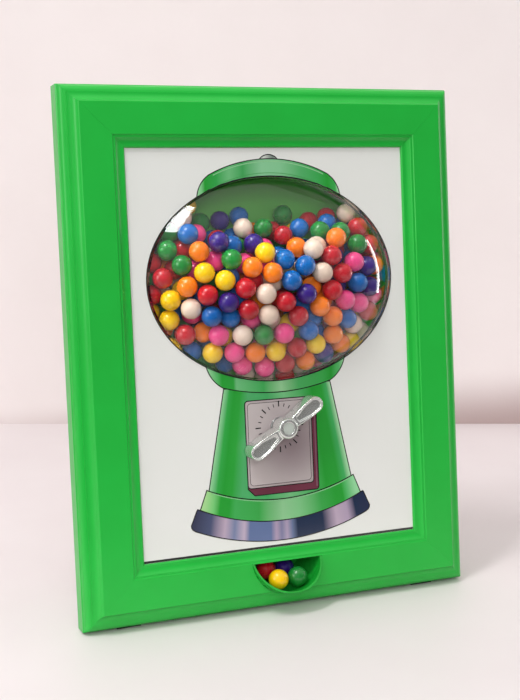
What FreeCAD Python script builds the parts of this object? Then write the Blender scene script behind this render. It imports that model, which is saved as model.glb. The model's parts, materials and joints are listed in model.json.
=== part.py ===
"""Framed-picture gumball machine: a picture frame with a clear globe window, a crank and a scoop.

Every piece is drawn upright, with X to the right, Y to the back and Z up along the frame, Y = 0 on
the frame's flat front face and Z = 0 on its lower edge. The finished pieces are then leaned back
together, so that the machine stands on its two foot pads and its easel leg.
"""
import FreeCAD
import Part
import Sketcher
import math
import os
import random
from types import SimpleNamespace
from FreeCAD import Matrix, Placement, Rotation, Vector

# Driving dimensions in millimetres and degrees, each with its own cell in the sheet.
DIMENSIONS = {
    # picture frame and its moulding
    "frame_width": 305.0,
    "frame_height": 381.0,
    "frame_depth": 25.0,
    "rail_width": 44.5,
    "lean": 6.36,
    "side_depth": 12.0,
    "edge_bevel": 0.8,
    "ovolo_width": 4.9,
    "ovolo_radius": 5.1,
    "ovolo_depth": 6.2,
    "quirk_width": 0.9,
    "quirk_depth": 5.3,
    "cove_width": 5.8,
    "cove_radius": 6.0,
    "arris_width": 0.6,
    "arris_depth": 0.7,
    "inner_band": 9.1,
    "step_width": 0.5,
    "step_depth": 0.8,
    "ledge_width": 1.5,
    "inner_cove_width": 4.6,
    "inner_cove_radius": 5.9,
    "sight_depth": 3.0,
    "sight_round": 0.9,
    "lip_back": 5.0,
    "rabbet_width": 6.6,
    # printed panel
    "panel_thick": 3.0,
    "panel_gap": 0.3,
    # clear globe window
    "globe_half_width": 95.7,
    "globe_half_height": 73.6,
    "globe_centre": 241.6,
    "globe_bulge": 32.0,
    "globe_wall": 1.5,
    "globe_flange": 6.0,
    "flange_thick": 2.0,
    "globe_clearance": 0.25,
    # cabinet behind the frame
    "cabinet_wall": 6.0,
    "cabinet_depth": 54.0,
    "back_thick": 3.0,
    "back_screw_inset": 30.0,
    "refill_half": 90.0,
    "refill_margin": 4.0,
    # hopper
    "ramp_rise": 29.0,
    "ramp_thick": 4.0,
    "sheet_thick": 2.0,
    "sheet_bend_height": 285.0,
    "sheet_bend_depth": 40.0,
    "sheet_top_depth": 60.0,
    # dispensing wheel and its housing
    "axis_height": 133.4,
    "wheel_radius": 27.0,
    "wheel_thick": 16.8,
    "wheel_gap": 0.3,
    "wheel_clearance": 0.6,
    "pocket_count": 5,
    "pocket_radius": 8.4,
    "pocket_centre": 19.6,
    "housing_half": 36.0,
    "housing_wall": 2.0,
    "housing_gap": 0.2,
    "throat_half": 9.5,
    "throat_lip": 1.2,
    "boss_radius": 10.0,
    "batten_depth": 12.0,
    "batten_height": 14.0,
    "batten_drop": 20.4,
    "batten_screw_inset": 12.0,
    "cover_screw_inset": 4.5,
    "cover_screw_drop": 5.8,
    # crank
    "shaft_radius": 4.0,
    "journal_radius": 3.0,
    "flat_height": 3.0,
    "fit": 0.05,
    "bush_wall": 1.55,
    "bush_flange": 1.0,
    "clip_thick": 0.9,
    "clip_radius": 5.5,
    "hub_radius": 7.5,
    "hub_taper": 1.0,
    "hub_straight": 12.0,
    "hub_front": 18.4,
    "hub_round": 1.6,
    "cap_radius": 4.1,
    "cap_thick": 1.2,
    "cap_sink": 0.3,
    "cap_room": 1.4,
    "cap_screw_head": 0.8,
    "cap_screw_length": 9.0,
    "shaft_setback": 4.8,
    "shaft_hole": 10.0,
    "shaft_tail": 1.6,
    "clip_groove": 0.6,
    "arm_length": 33.8,
    "arm_neck": 6.6,
    "arm_width": 11.6,
    "arm_swell": 20.5,
    "arm_front": 16.0,
    "arm_thick": 7.5,
    "arm_rim": 1.4,
    "dish_depth": 2.2,
    "dish_start": 1.2,
    "rim_round": 0.6,
    "crank_angle": 34.0,
    # scoop cup and chute
    "scoop_half": 26.0,
    "scoop_top": 34.7,
    "scoop_reach": 14.0,
    "scoop_lip": 14.8,
    "scoop_floor": 11.9,
    "scoop_back_floor": 17.5,
    "scoop_wall": 1.4,
    "scoop_gap": 0.2,
    "chute_foot": 36.0,
    # refill lid
    "lid_half": 98.0,
    "lid_thick": 8.5,
    "moving_gap": 0.3,
    "knob_radius": 7.0,
    "knob_height": 11.0,
    "knob_foot": 4.2,
    "knob_neck": 3.15,
    "knob_neck_height": 3.85,
    "knob_belly_height": 7.7,
    "knob_neck_curve": 6.05,
    "knob_crown_curve": 5.25,
    "hinge_spacing": 60.0,
    "hinge_width": 30.0,
    "leaf_thick": 1.2,
    "leaf_height": 14.0,
    "knuckle_radius": 2.4,
    "hinge_pin_radius": 1.2,
    "hinge_pin_proud": 0.8,
    "hinge_drop": 0.4,
    "knuckle_stand": 1.4,
    "leaf_screw_offset": 10.5,
    "lid_screw_offset": 4.5,
    "lid_screw_margin": 0.4,
    # easel leg
    "leg_pivot_height": 240.0,
    "leg_pivot_offset": 6.0,
    "leg_splay": 12.0,
    "leg_top_width": 50.0,
    "leg_foot_width": 36.0,
    "leg_thick": 5.0,
    "leg_pin_radius": 2.0,
    "shoe_thick": 9.0,
    "shoe_height": 12.0,
    "ear_thick": 2.5,
    "ear_half_height": 6.0,
    "bracket_foot": 20.0,
    "bracket_half_height": 14.0,
    "bracket_thick": 1.5,
    "bracket_screw_offset": 9.0,
    "bracket_height": 114.3,
    "easel_pin_proud": 1.5,
    "leg_barrel_wall": 1.6,
    # feet and fasteners
    "pad_half": 9.0,
    "pad_front": 14.0,
    "pad_back": 23.0,
    "pad_recess": 1.5,
    "pad_proud": 0.3,
    "pad_inset": 34.0,
    "brace_arm": 38.0,
    "brace_width": 12.0,
    "brace_thick": 1.5,
    "screw_head_radius": 2.8,
    "screw_head_height": 1.6,
    "screw_radius": 1.5,
    "screw_clearance": 0.1,
    "screw_bite": 9.0,
    "screw_grip": 8.0,
    # gumballs
    "ball_radius": 7.5,
    "ball_gap": 0.5,
    "ball_count": 276,
}

GUMBALL_COLOURS = ("red", "blue", "pink", "orange", "white", "yellow", "green", "purple")
GUMBALL_SHARES = (20, 17, 15, 13, 11, 10, 9, 5)
PACKING_SEED = 11
SETTLE_ROUNDS = 1000
FALLING_SHARE = 0.5
FALL_STEP = 0.9
NEIGHBOUR_REACH = 1.3
DROP_COLUMNS = 13
DROP_ROWS = 2
DROP_SPACING = 1.02
ROW_SPACING = 0.8
DROP_HEIGHT = -50.0
JITTER = 2.0

# Gumballs in the scoop: colour, place to the right of the middle, depth behind the frame's front
SCOOP_GUMBALLS = (("yellow", -7.8, -0.4), ("green", 7.8, 0.4), ("red", -11.5, 14.6), ("purple", 5.8, 20.5))


class Size:
    """A length that carries its value in millimetres and the sheet formula that gives it."""

    def __init__(self, value, formula):
        self.value = float(value)
        self.formula = formula

    def __add__(self, other):
        other = as_size(other)
        return Size(self.value + other.value, f"({self.formula} + {other.formula})")

    def __sub__(self, other):
        other = as_size(other)
        return Size(self.value - other.value, f"({self.formula} - {other.formula})")

    def __mul__(self, other):
        other = as_size(other)
        return Size(self.value * other.value, f"({self.formula} * {other.formula})")

    def __truediv__(self, other):
        other = as_size(other)
        return Size(self.value / other.value, f"({self.formula} / {other.formula})")

    def __neg__(self):
        return Size(-self.value, f"(0 - {self.formula})")

    def __radd__(self, other):
        return as_size(other) + self

    def __rsub__(self, other):
        return as_size(other) - self

    def __rmul__(self, other):
        return as_size(other) * self


def as_size(number):
    """A plain number as a Size; a Size as it is."""
    return number if isinstance(number, Size) else Size(number, f"{float(number):.6f}")


def root(size):
    return Size(math.sqrt(size.value), f"sqrt({size.formula})")


def sine(angle):
    return Size(math.sin(math.radians(angle.value)), f"sin({angle.formula} * 1 deg)")


def cosine(angle):
    return Size(math.cos(math.radians(angle.value)), f"cos({angle.formula} * 1 deg)")


def tangent(angle):
    return Size(math.tan(math.radians(angle.value)), f"tan({angle.formula} * 1 deg)")


# The document and its sheet of sizes
doc = FreeCAD.newDocument("FramedGumballMachine")
sheet = doc.addObject("Spreadsheet::Sheet", "sizes")
for row, (name, value) in enumerate(DIMENSIONS.items(), start=1):
    sheet.set(f"A{row}", name)
    sheet.set(f"B{row}", str(value))
    sheet.setAlias(f"B{row}", name)
doc.recompute()
s = SimpleNamespace(**{name: Size(value, f"sizes.{name}") for name, value in DIMENSIONS.items()})

pieces = []

# Sketch planes: their origin plane, and the sign that turns a place along the axis into an offset
PLANES = {"front": ("XZ_Plane", -1), "side": ("YZ_Plane", 1), "plan": ("XY_Plane", 1)}
TURNS = {"x": Rotation(Vector(0, 1, 0), 90), "y": Rotation(Vector(1, 0, 0), -90), "z": Rotation()}


def new_piece(label):
    """An empty body that becomes one sub-part."""
    piece = doc.addObject("PartDesign::Body", label)
    piece.Label = label
    pieces.append(piece)
    return piece


def loose_piece(label, shape):
    """A sub-part whose shape is worked out directly."""
    piece = doc.addObject("Part::Feature", label)
    piece.Label = label
    piece.Shape = shape
    pieces.append(piece)
    return piece


def bind(feature, path, size):
    feature.setExpression(path, as_size(size).formula)


def block(piece, low, high, cut=False):
    """A box between two corners, added to the piece or cut from it."""
    feature = piece.newObject("PartDesign::SubtractiveBox" if cut else "PartDesign::AdditiveBox", "Block")
    for path, start, end in zip(("Length", "Width", "Height"), low, high):
        bind(feature, path, as_size(end) - start)
    for axis, start in zip("xyz", low):
        bind(feature, f"Placement.Base.{axis}", start)
    return feature


def rod(piece, axis, start, radius, length, cut=False):
    """A cylinder from its start point along an axis, added to the piece or cut from it."""
    kind = "PartDesign::SubtractiveCylinder" if cut else "PartDesign::AdditiveCylinder"
    feature = piece.newObject(kind, "Rod")
    feature.Placement = Placement(Vector(), TURNS[axis])
    bind(feature, "Radius", radius)
    bind(feature, "Height", length)
    for letter, place in zip("xyz", start):
        bind(feature, f"Placement.Base.{letter}", place)
    return feature


def arc_between(start, end, radius, side):
    """The short arc between two points whose centre lies on the given side of the way between them."""
    chord = end - start
    reach = math.sqrt(max(radius * radius - chord.Length * chord.Length / 4, 0.0))
    left = Vector(-chord.y, chord.x, 0).normalize()
    centre = (start + end) / 2 + left * (reach if side == "left" else -reach)
    first, last = (start, end) if side == "left" else (end, start)
    angles = [math.atan2(point.y - centre.y, point.x - centre.x) for point in (first, last)]
    return Part.ArcOfCircle(Part.Circle(centre, Vector(0, 0, 1), radius), angles[0], angles[1])


def pin_point(sketch, geometry, position, point):
    """Ties a sketch point to its two sizes, measured from the sketch's origin."""
    for kind, axis, size in (("DistanceX", -2, point[0]), ("DistanceY", -1, point[1])):
        if size is None:
            continue
        size = as_size(size)
        if abs(size.value) < 1e-9:
            constrain(sketch, ("PointOnObject", geometry, position, axis), None)
        elif size.value > 0:
            constrain(sketch, (kind, -1, 1, geometry, position, size.value), size)
        else:
            constrain(sketch, (kind, geometry, position, -1, 1, -size.value), -size)


def constrain(sketch, definition, size):
    """Adds one constraint and binds it to a size where it has one."""
    index = sketch.addConstraint(Sketcher.Constraint(*definition))
    if size is not None:
        sketch.setExpression(f"Constraints[{index}]", size.formula)


def outline(piece, plane, at, points, arcs=None, shift=(0, 0), turn=None):
    """A closed sketch through the points, with arcs given as {index: (radius, side)}."""
    arcs = arcs or {}
    role, sign = PLANES[plane]
    sketch = piece.newObject("Sketcher::SketchObject", "Outline")
    origin_plane = next(item for item in piece.Origin.OriginFeatures if item.Role == role)
    sketch.AttachmentSupport = [(origin_plane, "")]
    sketch.MapMode = "FlatFace"
    if turn is not None:
        sketch.AttachmentOffset = Placement(Vector(), Rotation(Vector(0, 0, 1), turn.value))
        bind(sketch, "AttachmentOffset.Rotation.Angle", turn)
    bind(sketch, "AttachmentOffset.Base.x", shift[0])
    bind(sketch, "AttachmentOffset.Base.y", shift[1])
    bind(sketch, "AttachmentOffset.Base.z", as_size(at) * sign)
    corners = [Vector(as_size(u).value, as_size(v).value, 0) for u, v in points]
    count = len(points)
    ends = []
    for index in range(count):
        start, end = corners[index], corners[(index + 1) % count]
        if index in arcs:
            radius, side = arcs[index]
            geometry = sketch.addGeometry(arc_between(start, end, as_size(radius).value, side))
            ends.append((geometry, 1, 2) if side == "left" else (geometry, 2, 1))
        else:
            ends.append((sketch.addGeometry(Part.LineSegment(start, end)), 1, 2))
    for index in range(count):
        geometry, first, _ = ends[index]
        before, _, last = ends[index - 1]
        constrain(sketch, ("Coincident", before, last, geometry, first), None)
        pin_point(sketch, geometry, first, points[index])
        if index in arcs:
            round_off(sketch, geometry, points[index], points[(index + 1) % count], as_size(arcs[index][0]))
    return sketch


def round_off(sketch, geometry, start, end, radius):
    """Gives an arc its radius; a half circle, which spans its diameter, gets its centre instead."""
    across = as_size(end[0]) - start[0]
    along = as_size(end[1]) - start[1]
    if abs(math.hypot(across.value, along.value) - 2 * radius.value) > 1e-6:
        constrain(sketch, ("Radius", geometry, radius.value), radius)
    elif abs(along.value) < 1e-9:
        pin_point(sketch, geometry, 3, (None, start[1]))
    else:
        pin_point(sketch, geometry, 3, (start[0], None))


def pad(piece, plane, sketch, length):
    """Thickens a sketch along its axis, to the back, right or top."""
    feature = piece.newObject("PartDesign::Pad", "Pad")
    feature.Profile = sketch
    feature.Reversed = PLANES[plane][1] < 0
    bind(feature, "Length", length)
    return feature


def pocket(piece, plane, sketch, length):
    """Cuts a sketch along its axis, to the back, right or top, and makes sure that it cut something."""
    doc.recompute()
    before = piece.Shape.Volume
    feature = piece.newObject("PartDesign::Pocket", "Pocket")
    feature.Profile = sketch
    feature.Reversed = PLANES[plane][1] > 0
    bind(feature, "Length", length)
    doc.recompute()
    if not piece.Shape.Volume < before:
        raise ValueError(f"a pocket of {piece.Label} cuts nothing")
    return feature


def spin(piece, sketch, axis):
    """Turns a sketch all the way round its own horizontal or vertical axis."""
    feature = piece.newObject("PartDesign::Revolution", "Spin")
    feature.Profile = sketch
    feature.ReferenceAxis = (sketch, [axis])
    feature.Angle = 360
    return feature


def screw_shape(seat, inward):
    """A pan-head screw whose head sits on the seat and whose shank runs along the inward direction."""
    length = seat[3]
    place = Vector(*seat[:3])
    head = Part.makeCylinder(s.screw_head_radius.value, s.screw_head_height.value, place, inward * -1)
    shank = Part.makeCylinder(s.screw_radius.value, length, place, inward)
    return head.fuse(shank).removeSplitter()


def screws(label, groups):
    """A node of identical screws: groups of seats, each seat a point and a shank length."""
    shapes = [screw_shape([as_size(number).value for number in seat], inward)
              for inward, seats in groups for seat in seats]
    return loose_piece(label, Part.makeCompound(shapes))


def drill(piece, axis, starts, length):
    """Clearance holes for screw shanks."""
    for start in starts:
        rod(piece, axis, start, s.screw_radius + s.screw_clearance, length, cut=True)


BACK = Vector(0, 1, 0)
FORWARD = Vector(0, -1, 0)
SIDES = (-1, 1)

# Places that several pieces share
frame_half = s.frame_width / 2
sight_half = frame_half - s.rail_width
rabbet_half = sight_half + s.rabbet_width
rabbet_low = s.rail_width - s.rabbet_width
rabbet_high = s.frame_height - rabbet_low
panel_half = rabbet_half - s.panel_gap
panel_low = rabbet_low + s.panel_gap
panel_high = rabbet_high - s.panel_gap
panel_front = s.lip_back
panel_back = panel_front + s.panel_thick
cabinet_half = panel_half
cabinet_inner = cabinet_half - s.cabinet_wall
cabinet_back = panel_back + s.cabinet_depth
back_face = cabinet_back + s.back_thick
works_front = panel_back + s.flange_thick + s.housing_gap
cavity_front = works_front + s.housing_wall
wheel_front = cavity_front + s.wheel_gap
wheel_back = wheel_front + s.wheel_thick
cavity_back = wheel_back + s.wheel_gap
works_back = cavity_back + s.housing_wall
cavity_radius = s.wheel_radius + s.wheel_clearance
throat_rise = root(cavity_radius * cavity_radius - s.throat_half * s.throat_half)
throat_height = s.axis_height + throat_rise + s.throat_lip
housing_low = s.axis_height - s.housing_half
ramp_slope = s.ramp_rise / (cabinet_inner - s.housing_half)
shoulder_height = throat_height + ramp_slope * (s.housing_half - s.throat_half)
wall_top = shoulder_height + s.ramp_rise
sheet_low = s.axis_height + s.wheel_radius - s.wheel_clearance
scoop_back = works_back
hub_face = panel_front - s.hub_front
lid_low = panel_high + s.moving_gap
lid_front = s.frame_depth + s.moving_gap + s.screw_clearance
leg_pivot_depth = back_face + s.leg_pivot_offset
leg_open = s.lean + s.leg_splay
table_drop = s.frame_depth * sine(s.lean) + s.pad_proud * cosine(s.lean)
leg_pivot_rise = s.leg_pivot_height * cosine(s.lean) - leg_pivot_depth * sine(s.lean) + table_drop
leg_length = leg_pivot_rise / cosine(s.leg_splay)


# Frame: four mitred lengths of one moulding

def moulding_points():
    """The moulding's section as (distance in from the outer edge, depth), and its arcs."""
    ovolo_end = s.edge_bevel + s.ovolo_width
    quirk_end = ovolo_end + s.quirk_width
    cove_end = quirk_end + s.cove_width
    arris = cove_end + s.arris_width
    step = s.rail_width - s.inner_band
    ledge = step + s.step_width
    hollow = ledge + s.ledge_width
    lip = hollow + s.inner_cove_width
    points = [
        (0, s.frame_depth),
        (0, s.side_depth),
        (s.edge_bevel, s.side_depth - s.edge_bevel),
        (ovolo_end, s.ovolo_depth),
        (ovolo_end, s.quirk_depth),
        (quirk_end, s.quirk_depth),
        (cove_end, s.arris_depth),
        (arris, 0),
        (step, 0),
        (ledge, s.step_depth),
        (hollow, s.step_depth),
        (lip, s.sight_depth),
        (s.rail_width - s.sight_round, s.sight_depth),
        (s.rail_width, s.sight_depth + s.sight_round),
        (s.rail_width, s.lip_back),
        (rabbet_low, s.lip_back),
        (rabbet_low, s.frame_depth),
    ]
    arcs = {2: (s.ovolo_radius, "convex"), 5: (s.cove_radius, "hollow"), 10: (s.inner_cove_radius, "hollow")}
    return points, arcs


def rail(label, plane, place):
    """One length of moulding. place turns (inset, depth) into the sketch's own two coordinates."""
    piece = new_piece(label)
    points, arcs = moulding_points()
    placed = [place(as_size(inset), as_size(depth)) for inset, depth in points]
    start, end = [Vector(as_size(u).value, as_size(v).value, 0) for u, v in (placed[7], placed[8])]
    back = Vector(as_size(placed[0][0]).value, as_size(placed[0][1]).value, 0)
    turns_left = (end - start).cross(back - start).z > 0
    inner = "left" if turns_left else "right"
    outer = "right" if turns_left else "left"
    sides = {index: (radius, inner if form == "convex" else outer) for index, (radius, form) in arcs.items()}
    length = s.frame_width if plane == "side" else s.frame_height
    origin = -frame_half if plane == "side" else 0
    pad(piece, plane, outline(piece, plane, origin, placed, sides), length)
    return piece


def mitre(piece, corners):
    """Cuts a 45 degree mitre off one end, through the whole depth."""
    pocket(piece, "front", outline(piece, "front", 0, corners), s.frame_depth)


def mitre_corners(side, level, along):
    """The triangle outside a frame corner's mitre line that belongs to the other length of moulding."""
    corner = (frame_half * side, s.frame_height if level > 0 else as_size(0))
    inner = (corner[0] - s.rail_width * side, corner[1] - s.rail_width * level)
    third = (corner[0], inner[1]) if along == "rail" else (inner[0], corner[1])
    return [corner, inner, third]


def frame_lengths():
    top = rail("frame_top_rail", "side", lambda inset, depth: (depth, s.frame_height - inset))
    bottom = rail("frame_bottom_rail", "side", lambda inset, depth: (depth, inset))
    left = rail("frame_left_stile", "plan", lambda inset, depth: (inset - frame_half, depth))
    right = rail("frame_right_stile", "plan", lambda inset, depth: (frame_half - inset, depth))
    for side in SIDES:
        mitre(top, mitre_corners(side, 1, "rail"))
        mitre(bottom, mitre_corners(side, -1, "rail"))
    for level in SIDES:
        mitre(left, mitre_corners(-1, level, "stile"))
        mitre(right, mitre_corners(1, level, "stile"))
    scoop_hole(bottom)
    for side in SIDES:
        pad_centre = (frame_half - s.pad_inset) * side
        block(bottom, (pad_centre - s.pad_half, s.pad_front, -1),
              (pad_centre + s.pad_half, s.pad_back, s.pad_recess), cut=True)
    for piece, seats in ((top, brace_seats(1)), (bottom, brace_seats(-1))):
        drill(piece, "y", [(x, s.frame_depth - s.screw_bite, z) for x, z in seats], s.screw_bite)
    for piece, side in ((left, -1), (right, 1)):
        seats = stile_brace_seats(side) + bracket_frame_seats(side)
        drill(piece, "y", [(x, s.frame_depth - s.screw_bite, z) for x, z in seats], s.screw_bite)


def arc_section(half, top, floor):
    """A round-bottomed section: its two upper corners, and the arc that joins them underneath."""
    fall = as_size(top) - floor
    radius = (as_size(half) * half + fall * fall) / (fall * 2)
    return [(-as_size(half), top), (half, top)], {0: (radius, "left")}


def scoop_hole(bottom_rail):
    """The half-round hole for the scoop, and the notch above it for the chute."""
    half = s.scoop_half + s.scoop_wall + s.scoop_gap
    top = s.scoop_top + s.scoop_gap
    points, arcs = arc_section(half, top, s.scoop_floor - s.scoop_wall - s.scoop_gap)
    pocket(bottom_rail, "front", outline(bottom_rail, "front", 0, points, arcs), s.frame_depth)
    notch = s.throat_half + s.housing_wall + s.moving_gap
    block(bottom_rail, (-notch, panel_back, s.scoop_top), (notch, s.frame_depth, s.rail_width), cut=True)


# Flat steel braces across the frame's back corners, and the angle brackets that hold the cabinet

brace_offset = s.rail_width / 2 - s.brace_width / 2 - s.rabbet_width / 2


def brace_corner(side, level):
    """The outer corner of one brace."""
    height = s.frame_height - brace_offset if level > 0 else brace_offset
    return (frame_half - brace_offset) * side, height


def brace_seats(level):
    """The screw seats of the two braces on one rail."""
    seats = []
    for side in SIDES:
        x, z = brace_corner(side, level)
        seats.append((x - (s.brace_arm - s.brace_width / 2) * side, z - s.brace_width / 2 * level))
    return seats


def stile_brace_seats(side):
    """The screw seats of the two braces on one stile."""
    seats = []
    for level in SIDES:
        x, z = brace_corner(side, level)
        seats.append((x - s.brace_width / 2 * side, z - (s.brace_arm - s.brace_width / 2) * level))
    return seats


bracket_heights = (s.bracket_height, s.frame_height - s.bracket_height)


def bracket_frame_seats(side):
    """The seats of the angle brackets' screws on one stile."""
    return [((cabinet_half + s.bracket_foot / 2 + s.bracket_thick) * side, height)
            for height in bracket_heights]


def bracket_wall_seats(side):
    """The seats of the angle brackets' screws on one cabinet wall."""
    depth = s.frame_depth + s.bracket_thick + s.bracket_foot / 2
    return [((cabinet_half + s.bracket_thick) * side, depth, height) for height in bracket_heights]


def ordered(first, second):
    """Two sizes with the smaller one first."""
    first, second = as_size(first), as_size(second)
    return (first, second) if first.value <= second.value else (second, first)


def slab(piece, x_pair, y_pair, z_pair, cut=False):
    """A box given by its extent along each axis, in either order."""
    spans = [ordered(*pair) for pair in (x_pair, y_pair, z_pair)]
    return block(piece, [span[0] for span in spans], [span[1] for span in spans], cut)


def corner_hardware():
    braces = new_piece("corner_braces")
    back = s.frame_depth + s.brace_thick
    for side in SIDES:
        for level in SIDES:
            x, z = brace_corner(side, level)
            depth = (s.frame_depth, back)
            slab(braces, (x, x - s.brace_arm * side), depth, (z, z - s.brace_width * level))
            slab(braces, (x, x - s.brace_width * side), depth, (z, z - s.brace_arm * level))
    seats = [seat for level in SIDES for seat in brace_seats(level)]
    seats += [seat for side in SIDES for seat in stile_brace_seats(side)]
    drill(braces, "y", [(x, s.frame_depth - 1, z) for x, z in seats], s.brace_thick + 2)
    screws("corner_brace_screws", [(FORWARD, [(x, back, z, s.brace_thick + s.screw_grip) for x, z in seats])])

    brackets = new_piece("cabinet_brackets")
    half = s.brace_width / 2
    frame_seats = []
    wall_groups = []
    for side in SIDES:
        outside = cabinet_half * side
        for height in bracket_heights:
            heights = (height - half, height + half)
            reach = (cabinet_half + s.bracket_thick + s.bracket_foot) * side
            slab(brackets, (outside, reach), (s.frame_depth, s.frame_depth + s.bracket_thick), heights)
            slab(brackets, (outside, (cabinet_half + s.bracket_thick) * side),
                 (s.frame_depth, s.frame_depth + s.bracket_thick + s.bracket_foot), heights)
        frame_seats += [(x, s.frame_depth + s.bracket_thick, z, s.screw_grip) for x,
                        z in bracket_frame_seats(side)]
        inward = Vector(-side, 0, 0)
        wall_groups.append((inward, [(x, y, z, s.cabinet_wall) for x, y, z in bracket_wall_seats(side)]))
        drill(brackets, "y", [(x, s.frame_depth - 1, z) for x, z in bracket_frame_seats(side)],
              s.bracket_thick + 2)
        starts = [(ordered(x, x - 3 * s.bracket_thick * side)[0], y, z) for x, y,
                  z in bracket_wall_seats(side)]
        drill(brackets, "x", starts, 3 * s.bracket_thick)
    screws("cabinet_bracket_screws", [(FORWARD, frame_seats)] + wall_groups)


def foot_pads():
    """Two rubber pads let into the bottom rail, level underneath when the frame leans."""
    piece = new_piece("foot_pads")
    points = []
    for depth, top in ((s.pad_front, False), (s.pad_back, False), (s.pad_back, True), (s.pad_front, True)):
        level = -(s.pad_proud + (s.frame_depth - depth) * tangent(s.lean))
        points.append((depth, s.pad_recess if top else level))
    for side in SIDES:
        low = (frame_half - s.pad_inset) * side - s.pad_half
        pad(piece, "side", outline(piece, "side", low, points), s.pad_half * 2)


# Printed panel and the clear globe window in it

def picture_panel():
    plate = doc.addObject("Part::Box", "PanelPlate")
    bind(plate, "Length", panel_half * 2)
    bind(plate, "Width", s.panel_thick)
    bind(plate, "Height", panel_high - panel_low)
    bind(plate, "Placement.Base.x", -panel_half)
    bind(plate, "Placement.Base.y", panel_front)
    bind(plate, "Placement.Base.z", panel_low)
    oval = doc.addObject("Part::Ellipse", "PanelOval")
    oval.Placement = Placement(Vector(), TURNS["y"])
    bind(oval, "MajorRadius", s.globe_half_width + s.globe_clearance)
    bind(oval, "MinorRadius", s.globe_half_height + s.globe_clearance)
    bind(oval, "Placement.Base.y", panel_front - s.panel_thick)
    bind(oval, "Placement.Base.z", s.globe_centre)
    hole = doc.addObject("Part::Extrusion", "PanelWindow")
    hole.Base = oval
    hole.DirMode = "Custom"
    hole.Dir = BACK
    hole.Solid = True
    bind(hole, "LengthFwd", s.panel_thick * 3)
    bore = doc.addObject("Part::Cylinder", "PanelBore")
    bore.Placement = Placement(Vector(), TURNS["y"])
    bind(bore, "Radius", s.shaft_radius + s.bush_wall + s.screw_clearance)
    bind(bore, "Height", s.panel_thick * 3)
    bind(bore, "Placement.Base.y", panel_front - s.panel_thick)
    bind(bore, "Placement.Base.z", s.axis_height)
    windowed = doc.addObject("Part::Cut", "PanelWithWindow")
    windowed.Base = plate
    windowed.Tool = hole
    panel = doc.addObject("Part::Cut", "picture_panel")
    panel.Base = windowed
    panel.Tool = bore
    panel.Label = "picture_panel"
    pieces.append(panel)


def globe_profile():
    """Radius, depth and rise of the globe's round section before it is stretched sideways to an oval."""
    half = s.globe_half_height.value
    rim = panel_front.value - s.globe_clearance.value
    front = panel_front.value - s.globe_bulge.value
    rise = rim - front
    radius = (half * half + rise * rise) / (2 * rise)
    return half, rim, front, radius


def globe_dome():
    """A domed oval window with a flange that is bonded to the panel's back."""
    half, rim, front, radius = globe_profile()
    wall = s.globe_wall.value
    back = panel_back.value
    flange = half + s.globe_flange.value
    centre = front + radius
    inner = half - wall
    inner_rim = centre - math.sqrt((radius - wall) ** 2 - inner ** 2)
    outer_mid = Vector(half / 2, centre - math.sqrt(radius ** 2 - half * half / 4), 0)
    inner_mid = Vector(inner / 2, centre - math.sqrt((radius - wall) ** 2 - inner * inner / 4), 0)
    corners = [Vector(0, front + wall, 0), Vector(0, front, 0), Vector(half, rim, 0), Vector(half, back, 0),
               Vector(flange, back, 0), Vector(flange, back + s.flange_thick.value, 0),
               Vector(inner, back + s.flange_thick.value, 0), Vector(inner, inner_rim, 0)]
    edges = [Part.LineSegment(corners[0], corners[1]).toShape(),
             Part.Arc(corners[1], outer_mid, corners[2]).toShape()]
    edges += [Part.LineSegment(corners[index], corners[index + 1]).toShape() for index in range(2, 7)]
    edges.append(Part.Arc(corners[7], inner_mid, corners[0]).toShape())
    solid = Part.Face(Part.Wire(edges)).revolve(Vector(), BACK, 360)
    stretch = Matrix()
    stretch.A11 = s.globe_half_width.value / half
    stretch.A34 = s.globe_centre.value
    loose_piece("globe_dome", solid.transformGeometry(stretch))


# Cabinet behind the panel

back_screw_heights = (panel_low + s.back_screw_inset, s.frame_height / 2, panel_high - s.back_screw_inset)


def back_screw_seats():
    edge = cabinet_half - s.cabinet_wall / 2
    seats = [(edge * side, height) for side in SIDES for height in back_screw_heights]
    seats += [(as_size(0) + side * cabinet_inner / 2, panel_low + s.cabinet_wall / 2) for side in SIDES]
    return seats


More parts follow.
